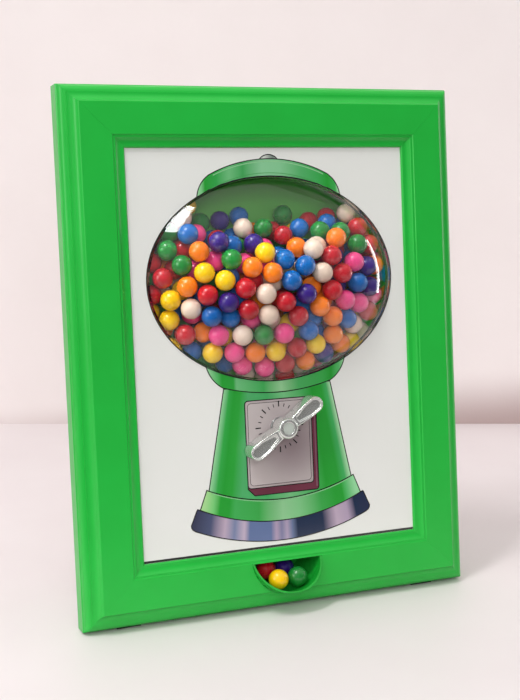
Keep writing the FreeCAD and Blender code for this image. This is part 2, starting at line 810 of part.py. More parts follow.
def cabinet():
    bite = s.screw_bite
    for label, side in (("cabinet_left_wall", -1), ("cabinet_right_wall", 1)):
        wall = new_piece(label)
        slab(wall, (cabinet_inner * side, cabinet_half * side), (panel_back, cabinet_back), (panel_low,
                                                                                             panel_high))
        starts = [(ordered(cabinet_inner * side - side, cabinet_half * side + side)[0], y, z)
                  for _, y, z in bracket_wall_seats(side)]
        drill(wall, "x", starts, s.cabinet_wall + 2)
        edge = [(x, cabinet_back - bite, z) for x, z in back_screw_seats()[:6] if x.value * side > 0]
        drill(wall, "y", edge, bite)

    top = new_piece("cabinet_top")
    top_low = panel_high - s.cabinet_wall
    block(top, (-cabinet_inner, panel_back, top_low), (cabinet_inner, cabinet_back, panel_high))
    block(top, (-s.refill_half, s.frame_depth + s.refill_margin, top_low - 1),
          (s.refill_half, cabinet_back - s.refill_margin, panel_high + 1), cut=True)

    bottom = new_piece("cabinet_bottom")
    notch = s.throat_half + s.housing_wall + s.moving_gap
    block(bottom, (-cabinet_inner, panel_back, panel_low), (cabinet_inner, cabinet_back,
                                                            panel_low + s.cabinet_wall))
    block(bottom, (-notch, panel_back - 1, panel_low - 1),
          (notch, works_back + s.moving_gap, panel_low + s.cabinet_wall + 1), cut=True)
    drill(bottom, "y", [(x, cabinet_back - bite, z) for x, z in back_screw_seats()[6:]], bite)

    back = new_piece("cabinet_back")
    block(back, (-cabinet_half, cabinet_back, panel_low), (cabinet_half, back_face, panel_high))
    holes = [(x, cabinet_back - 1, z) for x, z in back_screw_seats()]
    holes += [(x, cabinet_back - 1, z) for x, z in hinge_fixed_seats() + leg_bracket_seats()]
    drill(back, "y", holes, s.back_thick + 2)
    seats = [(x, back_face, z, s.back_thick + s.screw_grip) for x, z in back_screw_seats()]
    seats += [(x, back_face + s.leaf_thick, z, s.leaf_thick + s.back_thick) for x, z in hinge_fixed_seats()]
    seats += [(x, back_face + s.bracket_thick, z, s.bracket_thick + s.back_thick) for x,
              z in leg_bracket_seats()]
    screws("cabinet_back_screws", [(FORWARD, seats)])


# Hopper: two ramps and one bent back sheet

def hopper():
    for label, side in (("hopper_left_ramp", -1), ("hopper_right_ramp", 1)):
        ramp = new_piece(label)
        points = [(s.housing_half * side, shoulder_height), (cabinet_inner * side, wall_top),
                  (cabinet_inner * side, wall_top - s.ramp_thick),
                  (s.housing_half * side, shoulder_height - s.ramp_thick)]
        pad(ramp, "front", outline(ramp, "front", works_front, points), s.wheel_thick)

    sheet_back = new_piece("hopper_back")
    top = panel_high - s.cabinet_wall
    front = [(works_back - s.housing_wall, sheet_low), (s.sheet_bend_depth, s.sheet_bend_height),
             (s.sheet_top_depth, top)]
    behind = [(depth + s.sheet_thick, height) for depth, height in reversed(front)]
    sketch = outline(sheet_back, "side", -cabinet_inner, front + behind)
    pad(sheet_back, "side", sketch, cabinet_inner * 2)


# Dispensing wheel, its housing, and the chute under it

def cover_screw_seats():
    edge = s.housing_half - s.cover_screw_inset
    heights = (housing_low + s.cover_screw_inset, sheet_low - s.cover_screw_drop)
    return [(edge * side, height) for side in SIDES for height in heights]


def batten_screw_seats():
    return [((s.housing_half - s.batten_screw_inset) * side, s.axis_height - s.batten_drop) for side in SIDES]


def wheel_housing():
    housing = new_piece("wheel_housing")
    points = [(-s.housing_half, housing_low), (s.housing_half, housing_low), (s.housing_half,
                                                                              shoulder_height),
              (s.throat_half, throat_height), (-s.throat_half, throat_height), (-s.housing_half,
                                                                                shoulder_height)]
    pad(housing, "front", outline(housing, "front", works_front, points), cavity_back - works_front)
    rod(housing, "y", (0, panel_back, s.axis_height), s.boss_radius, works_front - panel_back)
    rod(housing, "y", (0, cavity_front, s.axis_height), cavity_radius, cavity_back - cavity_front, cut=True)
    block(housing, (-s.throat_half, cavity_front, housing_low - 1),
          (s.throat_half, cavity_back, throat_height + 1), cut=True)
    rod(housing, "y", (0, panel_back - 1, s.axis_height), s.shaft_radius + s.bush_wall + s.screw_clearance,
        cavity_front - panel_back + 2, cut=True)
    bite = s.screw_bite
    drill(housing, "y", [(x, cavity_back - bite, z) for x,
                         z in cover_screw_seats() + batten_screw_seats()], bite)

    cover = new_piece("housing_cover")
    block(cover, (-s.housing_half, cavity_back, housing_low),
          (s.housing_half, works_back, sheet_low - s.screw_clearance))
    rod(cover, "y", (0, cavity_back - 1, s.axis_height), s.journal_radius + s.bush_wall + s.screw_clearance,
        s.housing_wall + 2, cut=True)
    drill(cover, "y", [(x, cavity_back - 1, z) for x, z in cover_screw_seats() + batten_screw_seats()],
          s.housing_wall + 2)
    screws("housing_cover_screws",
           [(FORWARD, [(x, works_back, z, s.housing_wall + s.screw_grip) for x, z in cover_screw_seats()])])

    batten = new_piece("mechanism_batten")
    centre = s.axis_height - s.batten_drop
    block(batten, (-cabinet_inner, works_back, centre - s.batten_height / 2),
          (cabinet_inner, works_back + s.batten_depth, centre + s.batten_height / 2))
    drill(batten, "y", [(x, works_back - 1, z) for x, z in batten_screw_seats()], s.batten_depth + 2)
    length = s.batten_depth + s.housing_wall + s.screw_grip
    screws("mechanism_screws",
           [(FORWARD, [(x, works_back + s.batten_depth, z, length) for x, z in batten_screw_seats()])])

    chute = new_piece("drop_chute")
    outer = s.throat_half + s.housing_wall
    block(chute, (-outer, works_front, s.chute_foot), (outer, works_back, housing_low))
    block(chute, (-s.throat_half, cavity_front, s.chute_foot - 1), (s.throat_half, cavity_back,
                                                                    housing_low + 1),
          cut=True)


def flatted_bore(piece, at, length, radius, flat):
    """A round hole with a flat on its upper side, for the crank shaft."""
    half = root(radius * radius - flat * flat)
    points = [(half, flat), (-half, flat), (0, -radius)]
    arcs = {1: (radius, "left"), 2: (radius, "left")}
    sketch = outline(piece, "front", at, points, arcs, shift=(0, s.axis_height))
    pocket(piece, "front", sketch, length)


def dispensing_wheel():
    wheel = new_piece("dispensing_wheel")
    rod(wheel, "y", (0, wheel_front, s.axis_height), s.wheel_radius, s.wheel_thick)
    flatted_bore(wheel, wheel_front, s.wheel_thick, s.shaft_radius + s.fit, s.flat_height + s.fit)
    points = [(-s.pocket_radius, s.pocket_centre), (s.pocket_radius, s.pocket_centre),
              (s.pocket_radius, s.wheel_radius + 2), (-s.pocket_radius, s.wheel_radius + 2)]
    sketch = outline(wheel, "front", wheel_front, points, {0: (s.pocket_radius, "left")}, shift=(0,
                                                                                                 s.axis_height))
    scallop = pocket(wheel, "front", sketch, s.wheel_thick)
    ring = wheel.newObject("PartDesign::PolarPattern", "Scallops")
    ring.Originals = [scallop]
    ring.Axis = (sketch, ["N_Axis"])
    ring.Angle = 360
    bind(ring, "Occurrences", s.pocket_count)
    wheel.Tip = ring


def crank_shaft():
    shaft = new_piece("crank_shaft")
    front = hub_face + s.shaft_setback
    clip = works_back + s.bush_flange + s.moving_gap
    groove = s.journal_radius - s.clip_groove
    end = clip + s.clip_thick + s.shaft_tail
    points = [(front, 0), (front, s.shaft_radius), (wheel_back, s.shaft_radius), (wheel_back,
                                                                                  s.journal_radius),
              (clip - s.fit, s.journal_radius), (clip - s.fit, groove),
              (clip + s.clip_thick + s.fit, groove), (clip + s.clip_thick + s.fit, s.journal_radius),
              (end, s.journal_radius), (end, 0)]
    spin(shaft, outline(shaft, "side", 0, points, shift=(0, s.axis_height)), "H_Axis")
    flat = s.axis_height + s.flat_height
    for start, stop in ((front - 1, panel_front - s.bush_flange), (wheel_front, wheel_back)):
        block(shaft, (-s.shaft_radius, start, flat), (s.shaft_radius, stop, flat + s.shaft_radius), cut=True)
    rod(shaft, "y", (0, front - 1, s.axis_height), s.screw_radius + s.screw_clearance,
        s.shaft_hole + 1, cut=True)

    ring = new_piece("shaft_clip")
    rod(ring, "y", (0, clip, s.axis_height), s.clip_radius, s.clip_thick)
    rod(ring, "y", (0, clip - 1, s.axis_height), groove + s.fit, s.clip_thick + 2, cut=True)
    block(ring, (-groove, clip - 1, s.axis_height - s.clip_radius - 1),
          (groove, clip + s.clip_thick + 1, s.axis_height), cut=True)


def bushings():
    for label, start, stop, flange_at, flange_end, inner in (
            ("front_bushing", panel_front, cavity_front, panel_front - s.bush_flange, panel_front,
             s.shaft_radius),
            ("rear_bushing", cavity_back, works_back, works_back, works_back + s.bush_flange,
             s.journal_radius)):
        bush = new_piece(label)
        low, high = ordered(start, flange_at)[0], ordered(stop, flange_end)[1]
        rod(bush, "y", (0, low, s.axis_height), inner + s.bush_wall, high - low)
        rod(bush, "y", (0, flange_at, s.axis_height), inner + s.bush_wall * 2, s.bush_flange)
        rod(bush, "y", (0, low - 1, s.axis_height), inner + s.fit, high - low + 2, cut=True)


def crank_handle():
    """A cast wing handle: a hub with two dished arms."""
    handle = new_piece("crank_handle")
    back = panel_front - s.bush_flange - s.moving_gap
    points = [(back, 0), (back, s.hub_radius - s.hub_taper), (hub_face + s.hub_straight, s.hub_radius),
              (hub_face + s.hub_round, s.hub_radius), (hub_face, s.hub_radius - s.hub_round), (hub_face, 0)]
    sketch = outline(handle, "side", 0, points, {3: (s.hub_round, "left")}, shift=(0, s.axis_height))
    spin(handle, sketch, "H_Axis")
    arm_face = panel_front - s.arm_front
    for side in SIDES:
        pad(handle, "front", wing(handle, arm_face, as_size(0), side), s.arm_thick)
    for side in SIDES:
        pocket(handle, "front", wing(handle, arm_face, s.arm_rim, side), s.dish_depth)
    doc.recompute()
    wing_edges(handle, arm_face)
    rod(handle, "y", (0, hub_face - 1, s.axis_height), s.cap_radius + s.fit,
        s.cap_thick + s.cap_room + 1, cut=True)
    flatted_bore(handle, hub_face + s.shaft_setback - s.screw_clearance, back - hub_face,
                 s.shaft_radius + s.fit,
                 s.flat_height + s.fit)
    rod(handle, "y", (0, hub_face, s.axis_height), s.screw_radius + s.screw_clearance,
        s.shaft_setback + 1, cut=True)

    cap = new_piece("hub_cap")
    rod(cap, "y", (0, hub_face + s.cap_sink, s.axis_height), s.cap_radius, s.cap_thick)
    seat = hub_face + s.cap_thick + s.cap_room - s.cap_screw_head
    start = Vector(0, seat.value, s.axis_height.value)
    head = Part.makeCylinder(s.screw_head_radius.value, s.cap_screw_head.value, start, BACK)
    shank = Part.makeCylinder(s.screw_radius.value, s.cap_screw_length.value, start, BACK)
    loose_piece("handle_screw", head.fuse(shank).removeSplitter())


def wing(handle, at, inset, side):
    """The outline of one arm, or of the dish inside its rim, along the crank's own angle."""
    dished = inset.value > 0
    start = s.hub_radius + inset + s.dish_start if dished else as_size(0)
    neck = s.arm_neck / 2 - inset
    swell = s.arm_width / 2 - inset
    tip = s.arm_length - inset
    shoulder = tip - swell
    points = [(start * side, -neck), (s.arm_swell * side, -swell), (shoulder * side, -swell),
              (shoulder * side, swell), (s.arm_swell * side, swell), (start * side, neck)]
    if s.arm_swell.value >= shoulder.value - 1e-6:
        points = [points[0], points[2], points[3], points[5]]
    round_end = 2 if len(points) == 6 else 1
    turns = "left" if side > 0 else "right"
    return outline(handle, "front", at, points, {round_end: (swell, turns)}, shift=(0, s.axis_height),
                   turn=s.crank_angle)


def wing_edges(handle, arm_face):
    """Rounds the front edges of both arms."""
    base = handle.Tip
    hub = Vector(0, arm_face.value, s.axis_height.value)
    names = []
    for index, edge in enumerate(base.Shape.Edges, start=1):
        box = edge.BoundBox
        flat = abs(box.YMin - arm_face.value) < 1e-4 and abs(box.YMax - arm_face.value) < 1e-4
        if flat and edge.CenterOfMass.distanceToPoint(hub) > s.hub_radius.value:
            names.append(f"Edge{index}")
    soft = handle.newObject("PartDesign::Fillet", "SoftEdges")
    soft.Base = (base, names)
    bind(soft, "Radius", s.rim_round)


# Scoop cup that the gumballs roll into

def scoop_cup():
    cup = new_piece("scoop_cup")
    wall = s.scoop_wall
    outer = [(-s.scoop_reach, s.scoop_lip - wall), (as_size(0), s.scoop_floor - wall), (scoop_back,
                                                                                        s.scoop_floor - wall)]
    inner = [(-s.scoop_reach, s.scoop_lip), (as_size(0), s.scoop_floor), (scoop_back - wall,
                                                                          s.scoop_back_floor)]
    for kind, half, stations in (("Additive", s.scoop_half + wall, outer), ("Subtractive", s.scoop_half,
                                                                            inner)):
        sketches = [outline(cup, "front", at, *arc_section(half, s.scoop_top, floor)) for at,
                    floor in stations]
        loft = cup.newObject(f"PartDesign::{kind}Loft", f"{kind}Trough")
        loft.Profile = sketches[0]
        loft.Sections = sketches[1:]
        loft.Ruled = True
    slope = (s.scoop_top - s.scoop_lip) / s.scoop_reach
    reach = s.scoop_reach * 2
    points = [(0, s.scoop_top), (0, s.scoop_top * 2), (-reach, s.scoop_top * 2), (-reach,
                                                                                  s.scoop_top - slope * reach)]
    half = s.scoop_half * 2
    pocket(cup, "side", outline(cup, "side", -half, points), half * 2)


# Refill lid on the cabinet's top

hinge_axis_depth = back_face + s.leaf_thick + s.knuckle_stand
hinge_axis_height = panel_high - s.hinge_drop


def hinge_fixed_seats():
    height = hinge_axis_height - s.knuckle_radius - s.leaf_height / 2
    return [(s.hinge_spacing * side + s.leaf_screw_offset * end, height) for side in SIDES for end in SIDES]


def hinge_lid_seats():
    height = lid_low + s.lid_thick - s.screw_head_radius - s.lid_screw_margin
    return [(s.hinge_spacing * side + s.lid_screw_offset * end, height) for side in SIDES for end in SIDES]


def refill_lid():
    lid = new_piece("refill_lid")
    block(lid, (-s.lid_half, lid_front, lid_low), (s.lid_half, back_face, lid_low + s.lid_thick))
    drill(lid, "y", [(x, back_face - s.screw_bite, z) for x, z in hinge_lid_seats()], s.screw_bite)

    knob = new_piece("lid_knob")
    points = [(0, 0), (s.knob_foot, 0), (s.knob_neck, s.knob_neck_height), (s.knob_radius,
                                                                            s.knob_belly_height),
              (s.knob_foot, s.knob_height), (0, s.knob_height)]
    arcs = {2: (s.knob_neck_curve, "right"), 3: (s.knob_crown_curve, "left")}
    sketch = outline(knob, "side", 0, points, arcs,
                     shift=((lid_front + back_face) / 2, lid_low + s.lid_thick))
    spin(knob, sketch, "V_Axis")

    fixed = new_piece("lid_hinge_cabinet_leaves")
    moving = new_piece("lid_hinge_lid_leaves")
    pins = new_piece("lid_hinge_pins")
    half_width = s.hinge_width / 2
    third = s.hinge_width / 3
    leaf_back = back_face + s.leaf_thick
    clear = s.knuckle_radius + s.moving_gap
    for side in SIDES:
        centre = s.hinge_spacing * side
        left, right = centre - half_width, centre + half_width
        block(fixed, (left, back_face, hinge_axis_height - clear - s.leaf_height),
              (right, leaf_back, hinge_axis_height - clear))
        for start in (left, right - third):
            block(fixed, (start, back_face, hinge_axis_height - clear), (start + third, leaf_back,
                                                                         hinge_axis_height))
            rod(fixed, "x", (start, hinge_axis_depth, hinge_axis_height), s.knuckle_radius, third)
        middle = left + third + s.moving_gap
        block(moving, (left, back_face, hinge_axis_height + clear), (right, leaf_back, lid_low + s.lid_thick))
        block(moving, (middle, back_face, panel_high),
              (right - third - s.moving_gap, leaf_back, hinge_axis_height + clear))
        rod(moving, "x", (middle, hinge_axis_depth, hinge_axis_height), s.knuckle_radius,
            third - s.moving_gap * 2)
        rod(pins, "x", (left - s.hinge_pin_proud, hinge_axis_depth, hinge_axis_height), s.hinge_pin_radius,
            s.hinge_width + s.hinge_pin_proud * 2)
    for leaves in (fixed, moving):
        for side in SIDES:
            rod(leaves, "x", (s.hinge_spacing * side - half_width - 1, hinge_axis_depth, hinge_axis_height),
                s.hinge_pin_radius + s.fit, s.hinge_width + 2, cut=True)
    drill(fixed, "y", [(x, back_face - 1, z) for x, z in hinge_fixed_seats()], s.leaf_thick + 2)
    drill(moving, "y", [(x, back_face - 1, z) for x, z in hinge_lid_seats()], s.leaf_thick + 2)
    screws("lid_hinge_lid_screws",
           [(FORWARD, [(x, leaf_back, z, s.leaf_thick + s.screw_grip) for x, z in hinge_lid_seats()])])


# Easel leg behind the cabinet

def leg_bracket_seats():
    reach = s.leg_top_width / 2 + s.moving_gap + s.ear_thick + s.bracket_foot / 2
    return [(reach * side, s.leg_pivot_height + s.bracket_screw_offset * end) for side in SIDES
            for end in SIDES]


def easel():
    brackets = new_piece("easel_brackets")
    inner = s.leg_top_width / 2 + s.moving_gap
    foot_back = back_face + s.bracket_thick
    for side in SIDES:
        heights = (s.leg_pivot_height - s.bracket_half_height, s.leg_pivot_height + s.bracket_half_height)
        slab(brackets, (inner * side, (inner + s.ear_thick + s.bracket_foot) * side), (back_face,
                                                                                       foot_back), heights)
        ear = ordered(inner * side, (inner + s.ear_thick) * side)
        block(brackets, (ear[0], back_face, s.leg_pivot_height - s.ear_half_height),
              (ear[1], leg_pivot_depth, s.leg_pivot_height + s.ear_half_height))
        rod(brackets, "x", (ear[0], leg_pivot_depth, s.leg_pivot_height), s.ear_half_height, s.ear_thick)
    for side in SIDES:
        ear = ordered(inner * side, (inner + s.ear_thick) * side)
        rod(brackets, "x", (ear[0] - 1, leg_pivot_depth, s.leg_pivot_height), s.leg_pin_radius + s.fit,
            s.ear_thick + 2, cut=True)
    drill(brackets, "y", [(x, back_face - 1, z) for x, z in leg_bracket_seats()], s.bracket_thick + 2)

    pin = new_piece("easel_pin")
    span = inner + s.ear_thick + s.easel_pin_proud
    rod(pin, "x", (-span, leg_pivot_depth, s.leg_pivot_height), s.leg_pin_radius, span * 2)

    leg = new_piece("easel_leg")
    half = s.leg_thick / 2
    heel = (s.leg_pivot_offset - s.moving_gap - half * cosine(leg_open)) / sine(leg_open)
    shoe_top = s.leg_pivot_height - leg_length + s.shoe_height
    points = [(-s.leg_foot_width / 2, shoe_top), (s.leg_foot_width / 2, shoe_top),
              (s.leg_top_width / 2, s.leg_pivot_height), (s.leg_top_width / 2, s.leg_pivot_height + heel),
              (-s.leg_top_width / 2, s.leg_pivot_height + heel), (-s.leg_top_width / 2, s.leg_pivot_height)]
    pad(leg, "front", outline(leg, "front", leg_pivot_depth - half, points), s.leg_thick)
    rod(leg, "x", (-s.leg_top_width / 2, leg_pivot_depth, s.leg_pivot_height),
        s.leg_pin_radius + s.leg_barrel_wall,
        s.leg_top_width)
    rod(leg, "x", (-s.leg_top_width, leg_pivot_depth, s.leg_pivot_height), s.leg_pin_radius + s.fit,
        s.leg_top_width * 2, cut=True)

    shoe = new_piece("easel_shoe")
    half = s.shoe_thick / 2
    rise = half * tangent(s.leg_splay)
    low = s.leg_pivot_height - leg_length
    points = [(leg_pivot_depth - half, low + rise), (leg_pivot_depth + half, low - rise),
              (leg_pivot_depth + half, shoe_top), (leg_pivot_depth - half, shoe_top)]
    pad(shoe, "side", outline(shoe, "side", -s.leg_foot_width / 2, points), s.leg_foot_width)


# Gumballs

def settle(count, reach, pull, walls, rounds, rng):
    """Lets balls fall and jostle until none is nearer than reach to another or breaks a wall.

    walls(x, y, z) returns the push that brings a ball's centre back inside.
    """
    spots = []
    for index in range(count):
        layer, place = divmod(index, DROP_COLUMNS * DROP_ROWS)
        row, column = divmod(place, DROP_COLUMNS)
        x = (column - (DROP_COLUMNS - 1) / 2) * reach * DROP_SPACING
        y = works_front.value + s.ball_radius.value + JITTER + row * reach * ROW_SPACING
        z = s.globe_centre.value + DROP_HEIGHT + layer * reach * DROP_SPACING
        spots.append([place + rng.uniform(-JITTER, JITTER) for place in (x, y, z)])
    near = []
    for step in range(rounds):
        weight = max(1 - step / (rounds * FALLING_SHARE), 0.0) ** 2
        if step % 4 == 0:
            near = near_pairs(spots, reach * NEIGHBOUR_REACH)
        for spot in spots:
            for axis in range(3):
                spot[axis] += pull[axis] * weight
        for first, second in near:
            push_apart(spots[first], spots[second], reach)
        for spot in spots:
            for _ in range(2):
                push = walls(*spot)
                for axis in range(3):
                    spot[axis] += push[axis]
    return spots


def near_pairs(spots, reach):
    """Index pairs of spots that lie within reach, found through a grid of cells."""
    cells = {}
    for index, spot in enumerate(spots):
        cells.setdefault(tuple(int(part // reach) for part in spot), []).append(index)
    pairs = []
    for (i, j, k), members in cells.items():
        for di in (-1, 0, 1):
            for dj in (-1, 0, 1):
                for dk in (-1, 0, 1):
                    for second in cells.get((i + di, j + dj, k + dk), ()):
                        pairs += [(first, second) for first in members if first < second]
    return [(a, b) for a, b in pairs if math.dist(spots[a], spots[b]) < reach]


def push_apart(first, second, reach):
    """Moves two spots apart along the line between them until they are reach apart."""
    gap = [b - a for a, b in zip(first, second)]
    length = math.sqrt(sum(part * part for part in gap)) or 1e-6
    if length < reach:
        share = (reach - length) / (2 * length)
        for axis in range(3):
            first[axis] -= gap[axis] * share
            second[axis] += gap[axis] * share


def hopper_walls():
    """A function that pushes a ball's centre back into the hopper and the globe."""
    clear = s.ball_radius.value + s.ball_gap.value
    half, rim, front, radius = globe_profile()
    wall = s.globe_wall.value
    stretch = s.globe_half_width.value / half
    inner_z = half - wall
    inner_x = inner_z * stretch
    cap_centre = front + radius
    cap_radius = radius - wall
    flange_back = panel_back.value + s.flange_thick.value
    middle = s.globe_centre.value
    side_limit = cabinet_inner.value - clear
    slope = ramp_slope.value
    slope_cos = 1 / math.sqrt(1 + slope * slope)
    floor = throat_height.value
    bend = (s.sheet_bend_depth.value - cavity_back.value) / (s.sheet_bend_height.value - sheet_low.value)
    bend_cos = 1 / math.sqrt(1 + bend * bend)

    def push(x, y, z):
        dx = dy = dz = 0.0
        if abs(x) > side_limit:
            dx -= math.copysign(abs(x) - side_limit, x)
        short = floor + clear - z
        if short > 0:
            dz += short
        depth = clear - (z - floor - (abs(x) - s.throat_half.value) * slope) * slope_cos
        if depth > 0:
            dx -= math.copysign(depth * slope * slope_cos, x)
            dz += depth * slope_cos
        behind = (y - cavity_back.value - (z - sheet_low.value) * bend) * bend_cos + clear
        if behind > 0:
            dy -= behind * bend_cos
            dz += behind * bend * bend_cos
        ahead = flange_back + clear - y
        if ahead > 0:
            up = z - middle
            ring = math.hypot(x / inner_x, up / inner_z) or 1e-6
            lean_x, lean_z = x / inner_x ** 2 / ring, up / inner_z ** 2 / ring
            steep = math.hypot(lean_x, lean_z) or 1e-6
            room = (1 - ring) / steep
            need = clear if y < flange_back else math.sqrt(clear ** 2 - (y - flange_back) ** 2)
            short = need - room
            if short > 0:
                if ahead < short:
                    dy += ahead
                else:
                    dx -= lean_x / steep * short
                    dz -= lean_z / steep * short
            else:
                flat_x = x / stretch
                reach = math.sqrt(flat_x ** 2 + (y - cap_centre) ** 2 + up ** 2)
                way = (flat_x / stretch / reach, (y - cap_centre) / reach, up / reach)
                size = math.sqrt(sum(part * part for part in way))
                over = clear - (cap_radius - reach) / size
                if over > 0 and y < cap_centre:
                    dx -= way[0] / size * over
                    dy -= way[1] / size * over
                    dz -= way[2] / size * over
        return dx, dy, dz

    return push


def gumballs():
    rng = random.Random(PACKING_SEED)
    reach = (s.ball_radius.value + s.ball_gap.value / 2) * 2
    lean = math.radians(s.lean.value)
    pull = (0.0, FALL_STEP * math.sin(lean), -FALL_STEP * math.cos(lean))
    spots = settle(int(s.ball_count.value), reach, pull, hopper_walls(), SETTLE_ROUNDS, rng)
    least = min(math.dist(spots[a], spots[b]) for a, b in near_pairs(spots, reach * NEIGHBOUR_REACH))
    print(f"gumballs: {len(spots)}, top {max(spot[2] for spot in spots):.1f}, "
          f"least gap {least - 2 * s.ball_radius.value:.3f}")
    colours = {colour: [] for colour in GUMBALL_COLOURS}
    for spot in spots:
        colour = rng.choices(GUMBALL_COLOURS, GUMBALL_SHARES)[0]
        colours[colour].append(Part.makeSphere(s.ball_radius.value, Vector(*spot)))
    for colour, balls in colours.items():
        loose_piece(f"gumballs_{colour}", Part.makeCompound(balls))


def seated(across, depth):
    """A ball's centre where it rests on the scoop's round floor, at a place across and into the scoop."""
    along = depth / (scoop_back.value - s.scoop_wall.value)
    floor = s.scoop_floor.value + max(along, 0) * (s.scoop_back_floor.value - s.scoop_floor.value)
    fall = s.scoop_top.value - floor
    radius = (s.scoop_half.value ** 2 + fall ** 2) / (2 * fall)
    room = radius - s.ball_radius.value - s.ball_gap.value
    return Vector(across, depth, floor + radius - math.sqrt(room ** 2 - across ** 2))


def spare_gumballs():
    """The gumballs that lie in the scoop, and the one in the wheel's top pocket."""
    for colour, across, depth in SCOOP_GUMBALLS:
        loose_piece(f"scoop_gumball_{colour}", Part.makeSphere(s.ball_radius.value, seated(across, depth)))
    centre = Vector(0, ((wheel_front + wheel_back) / 2).value, (s.axis_height + s.pocket_centre).value)
    loose_piece("metered_gumball", Part.makeSphere(s.ball_radius.value, centre))


def stand_up():
    """Leans every piece back, opens the leg, and puts the origin under the middle of the machine."""
    lean = Placement(Vector(0, 0, table_drop.value), Rotation(Vector(1, 0, 0), -s.lean.value))
    pivot = Vector(0, leg_pivot_depth.value, s.leg_pivot_height.value)
    swing = Placement(Vector(), Rotation(Vector(1, 0, 0), leg_open.value), pivot)
    for piece in pieces:
        piece.Placement = lean * swing if piece.Label in ("easel_leg", "easel_shoe") else lean
    doc.recompute()
    boxes = [piece.Shape.optimalBoundingBox() for piece in pieces]
    middle = (min(box.YMin for box in boxes) + max(box.YMax for box in boxes)) / 2
    for piece in pieces:
        piece.Placement = Placement(Vector(0, -middle, 0), Rotation()) * piece.Placement
    doc.recompute()
    print(f"origin stands {middle:.3f} behind the frame's lower front edge")


def write_parts():
    """Checks every object and every sub-part, then writes one file for each sub-part."""
    failed = [item.Label for item in doc.Objects if "Invalid" in item.State or "Error" in item.State]
    failed += [piece.Label for piece in pieces if piece.Shape.isNull() or not piece.Shape.isValid()]
    if failed:
        raise ValueError(f"failed objects: {failed}")
    os.makedirs("parts", exist_ok=True)
    for piece in pieces:
        piece.Shape.exportStep(f"parts/{piece.Label}.step")
    print(f"{len(pieces)} parts written")


frame_lengths()
corner_hardware()
foot_pads()
picture_panel()
globe_dome()
cabinet()
hopper()
wheel_housing()
dispensing_wheel()
crank_shaft()
bushings()
crank_handle()
scoop_cup()
refill_lid()
easel()
gumballs()
spare_gumballs()
doc.recompute()
stand_up()
write_parts()
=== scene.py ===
"""Looks of a framed gumball machine: paint, printed panel, clear globe, gumballs, crank and scoop.

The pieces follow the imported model. Sizes are in millimetres along the leaning frame: X to the
right, Y to the back from the frame's flat face, Z up along the frame from its lower edge. The
studio is in metres in the row frame.
"""
import json
import logging
import math
import random
from dataclasses import dataclass, field
from enum import Enum

import bpy
import numpy as np
from mathutils import Matrix, Vector


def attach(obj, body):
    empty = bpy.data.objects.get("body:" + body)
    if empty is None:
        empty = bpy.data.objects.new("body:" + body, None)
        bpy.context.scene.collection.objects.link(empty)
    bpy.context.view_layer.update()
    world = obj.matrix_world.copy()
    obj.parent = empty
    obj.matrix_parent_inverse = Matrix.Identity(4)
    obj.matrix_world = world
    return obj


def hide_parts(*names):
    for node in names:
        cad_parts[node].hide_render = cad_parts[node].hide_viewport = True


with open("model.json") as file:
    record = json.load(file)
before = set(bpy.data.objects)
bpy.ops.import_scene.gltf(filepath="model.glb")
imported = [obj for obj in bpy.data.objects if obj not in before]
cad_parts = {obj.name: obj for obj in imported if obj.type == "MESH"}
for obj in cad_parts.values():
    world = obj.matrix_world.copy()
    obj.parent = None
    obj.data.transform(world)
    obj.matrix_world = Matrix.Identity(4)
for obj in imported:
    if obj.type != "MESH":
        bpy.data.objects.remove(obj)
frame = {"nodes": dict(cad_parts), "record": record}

MM = 0.001
WELD = 0.002
SAME_POINT = 0.005
FLAT_DEGREES = 0.5
SHARP_DEGREES = 32.0
GRAIN_STRENGTH = 0.35
CLOUD_SHARE = 0.23
MOTTLE_RANGE = (0.3, 0.7)
MACHINE = "machine"
CRANK = "crank"
LID = "lid"
LEG = "leg"
BALL_TONE = "ball_tone"

Colour = tuple[float, float, float]
Point = tuple[float, float]
Range = tuple[float, float]
Place = tuple[float, float, float]
Piece = bpy.types.Object
Material = bpy.types.Material
Socket = bpy.types.NodeSocket

log = logging.getLogger("framed_gumball_machine")


def srgb(red: int, green: int, blue: int) -> Colour:
    """A screen colour, each part from 0 to 255, as linear light from 0 to 1."""
    parts = [part / 255 for part in (red, green, blue)]
    return tuple(part / 12.92 if part <= 0.04045 else ((part + 0.055) / 1.055) ** 2.4
                 for part in parts)


def placed(across: Vector, second: Vector, third: Vector, origin: Vector) -> Matrix:
    """The move that takes X, Y and Z to three directions, and the origin to a place.

    Args:
        across: Where X goes.
        second: Where Y goes.
        third: Where Z goes.
        origin: Where the origin goes.

    Returns:
        The move.
    """
    columns = (across, second, third, origin)
    rows = [[column[axis] for column in columns] for axis in range(3)]
    return Matrix(rows + [[0, 0, 0, 1]])


@dataclass(frozen=True)
class LeaningFrame:
    """The directions and origin of the leaning picture frame in the row frame."""

    origin: Vector
    back: Vector
    up: Vector

    @classmethod
    def from_crank(cls, panel_front: float, axis_height: float) -> "LeaningFrame":
        """Reads the lean from the crank's axis, which stands square on the panel.

        Args:
            panel_front: Depth of the panel's front behind the frame's flat face.
            axis_height: Height of the crank's axis along the frame.

        Returns:
            The frame's own directions.
        """
        joints = frame["record"]["behaviour"]["joints"]
        joint = next(item for item in joints if item["child"] == CRANK)
        back = -Vector(joint["axis"]).normalized()
        up = Vector((1, 0, 0)).cross(back)
        origin = Vector(joint["pos_m"]) - back * panel_front * MM - up * axis_height * MM
        return cls(origin, back, up)

    def matrix(self) -> Matrix:
        """The move from upright frame coordinates to the row frame, both in metres."""
        return placed(Vector((1, 0, 0)), self.back, self.up, self.origin)


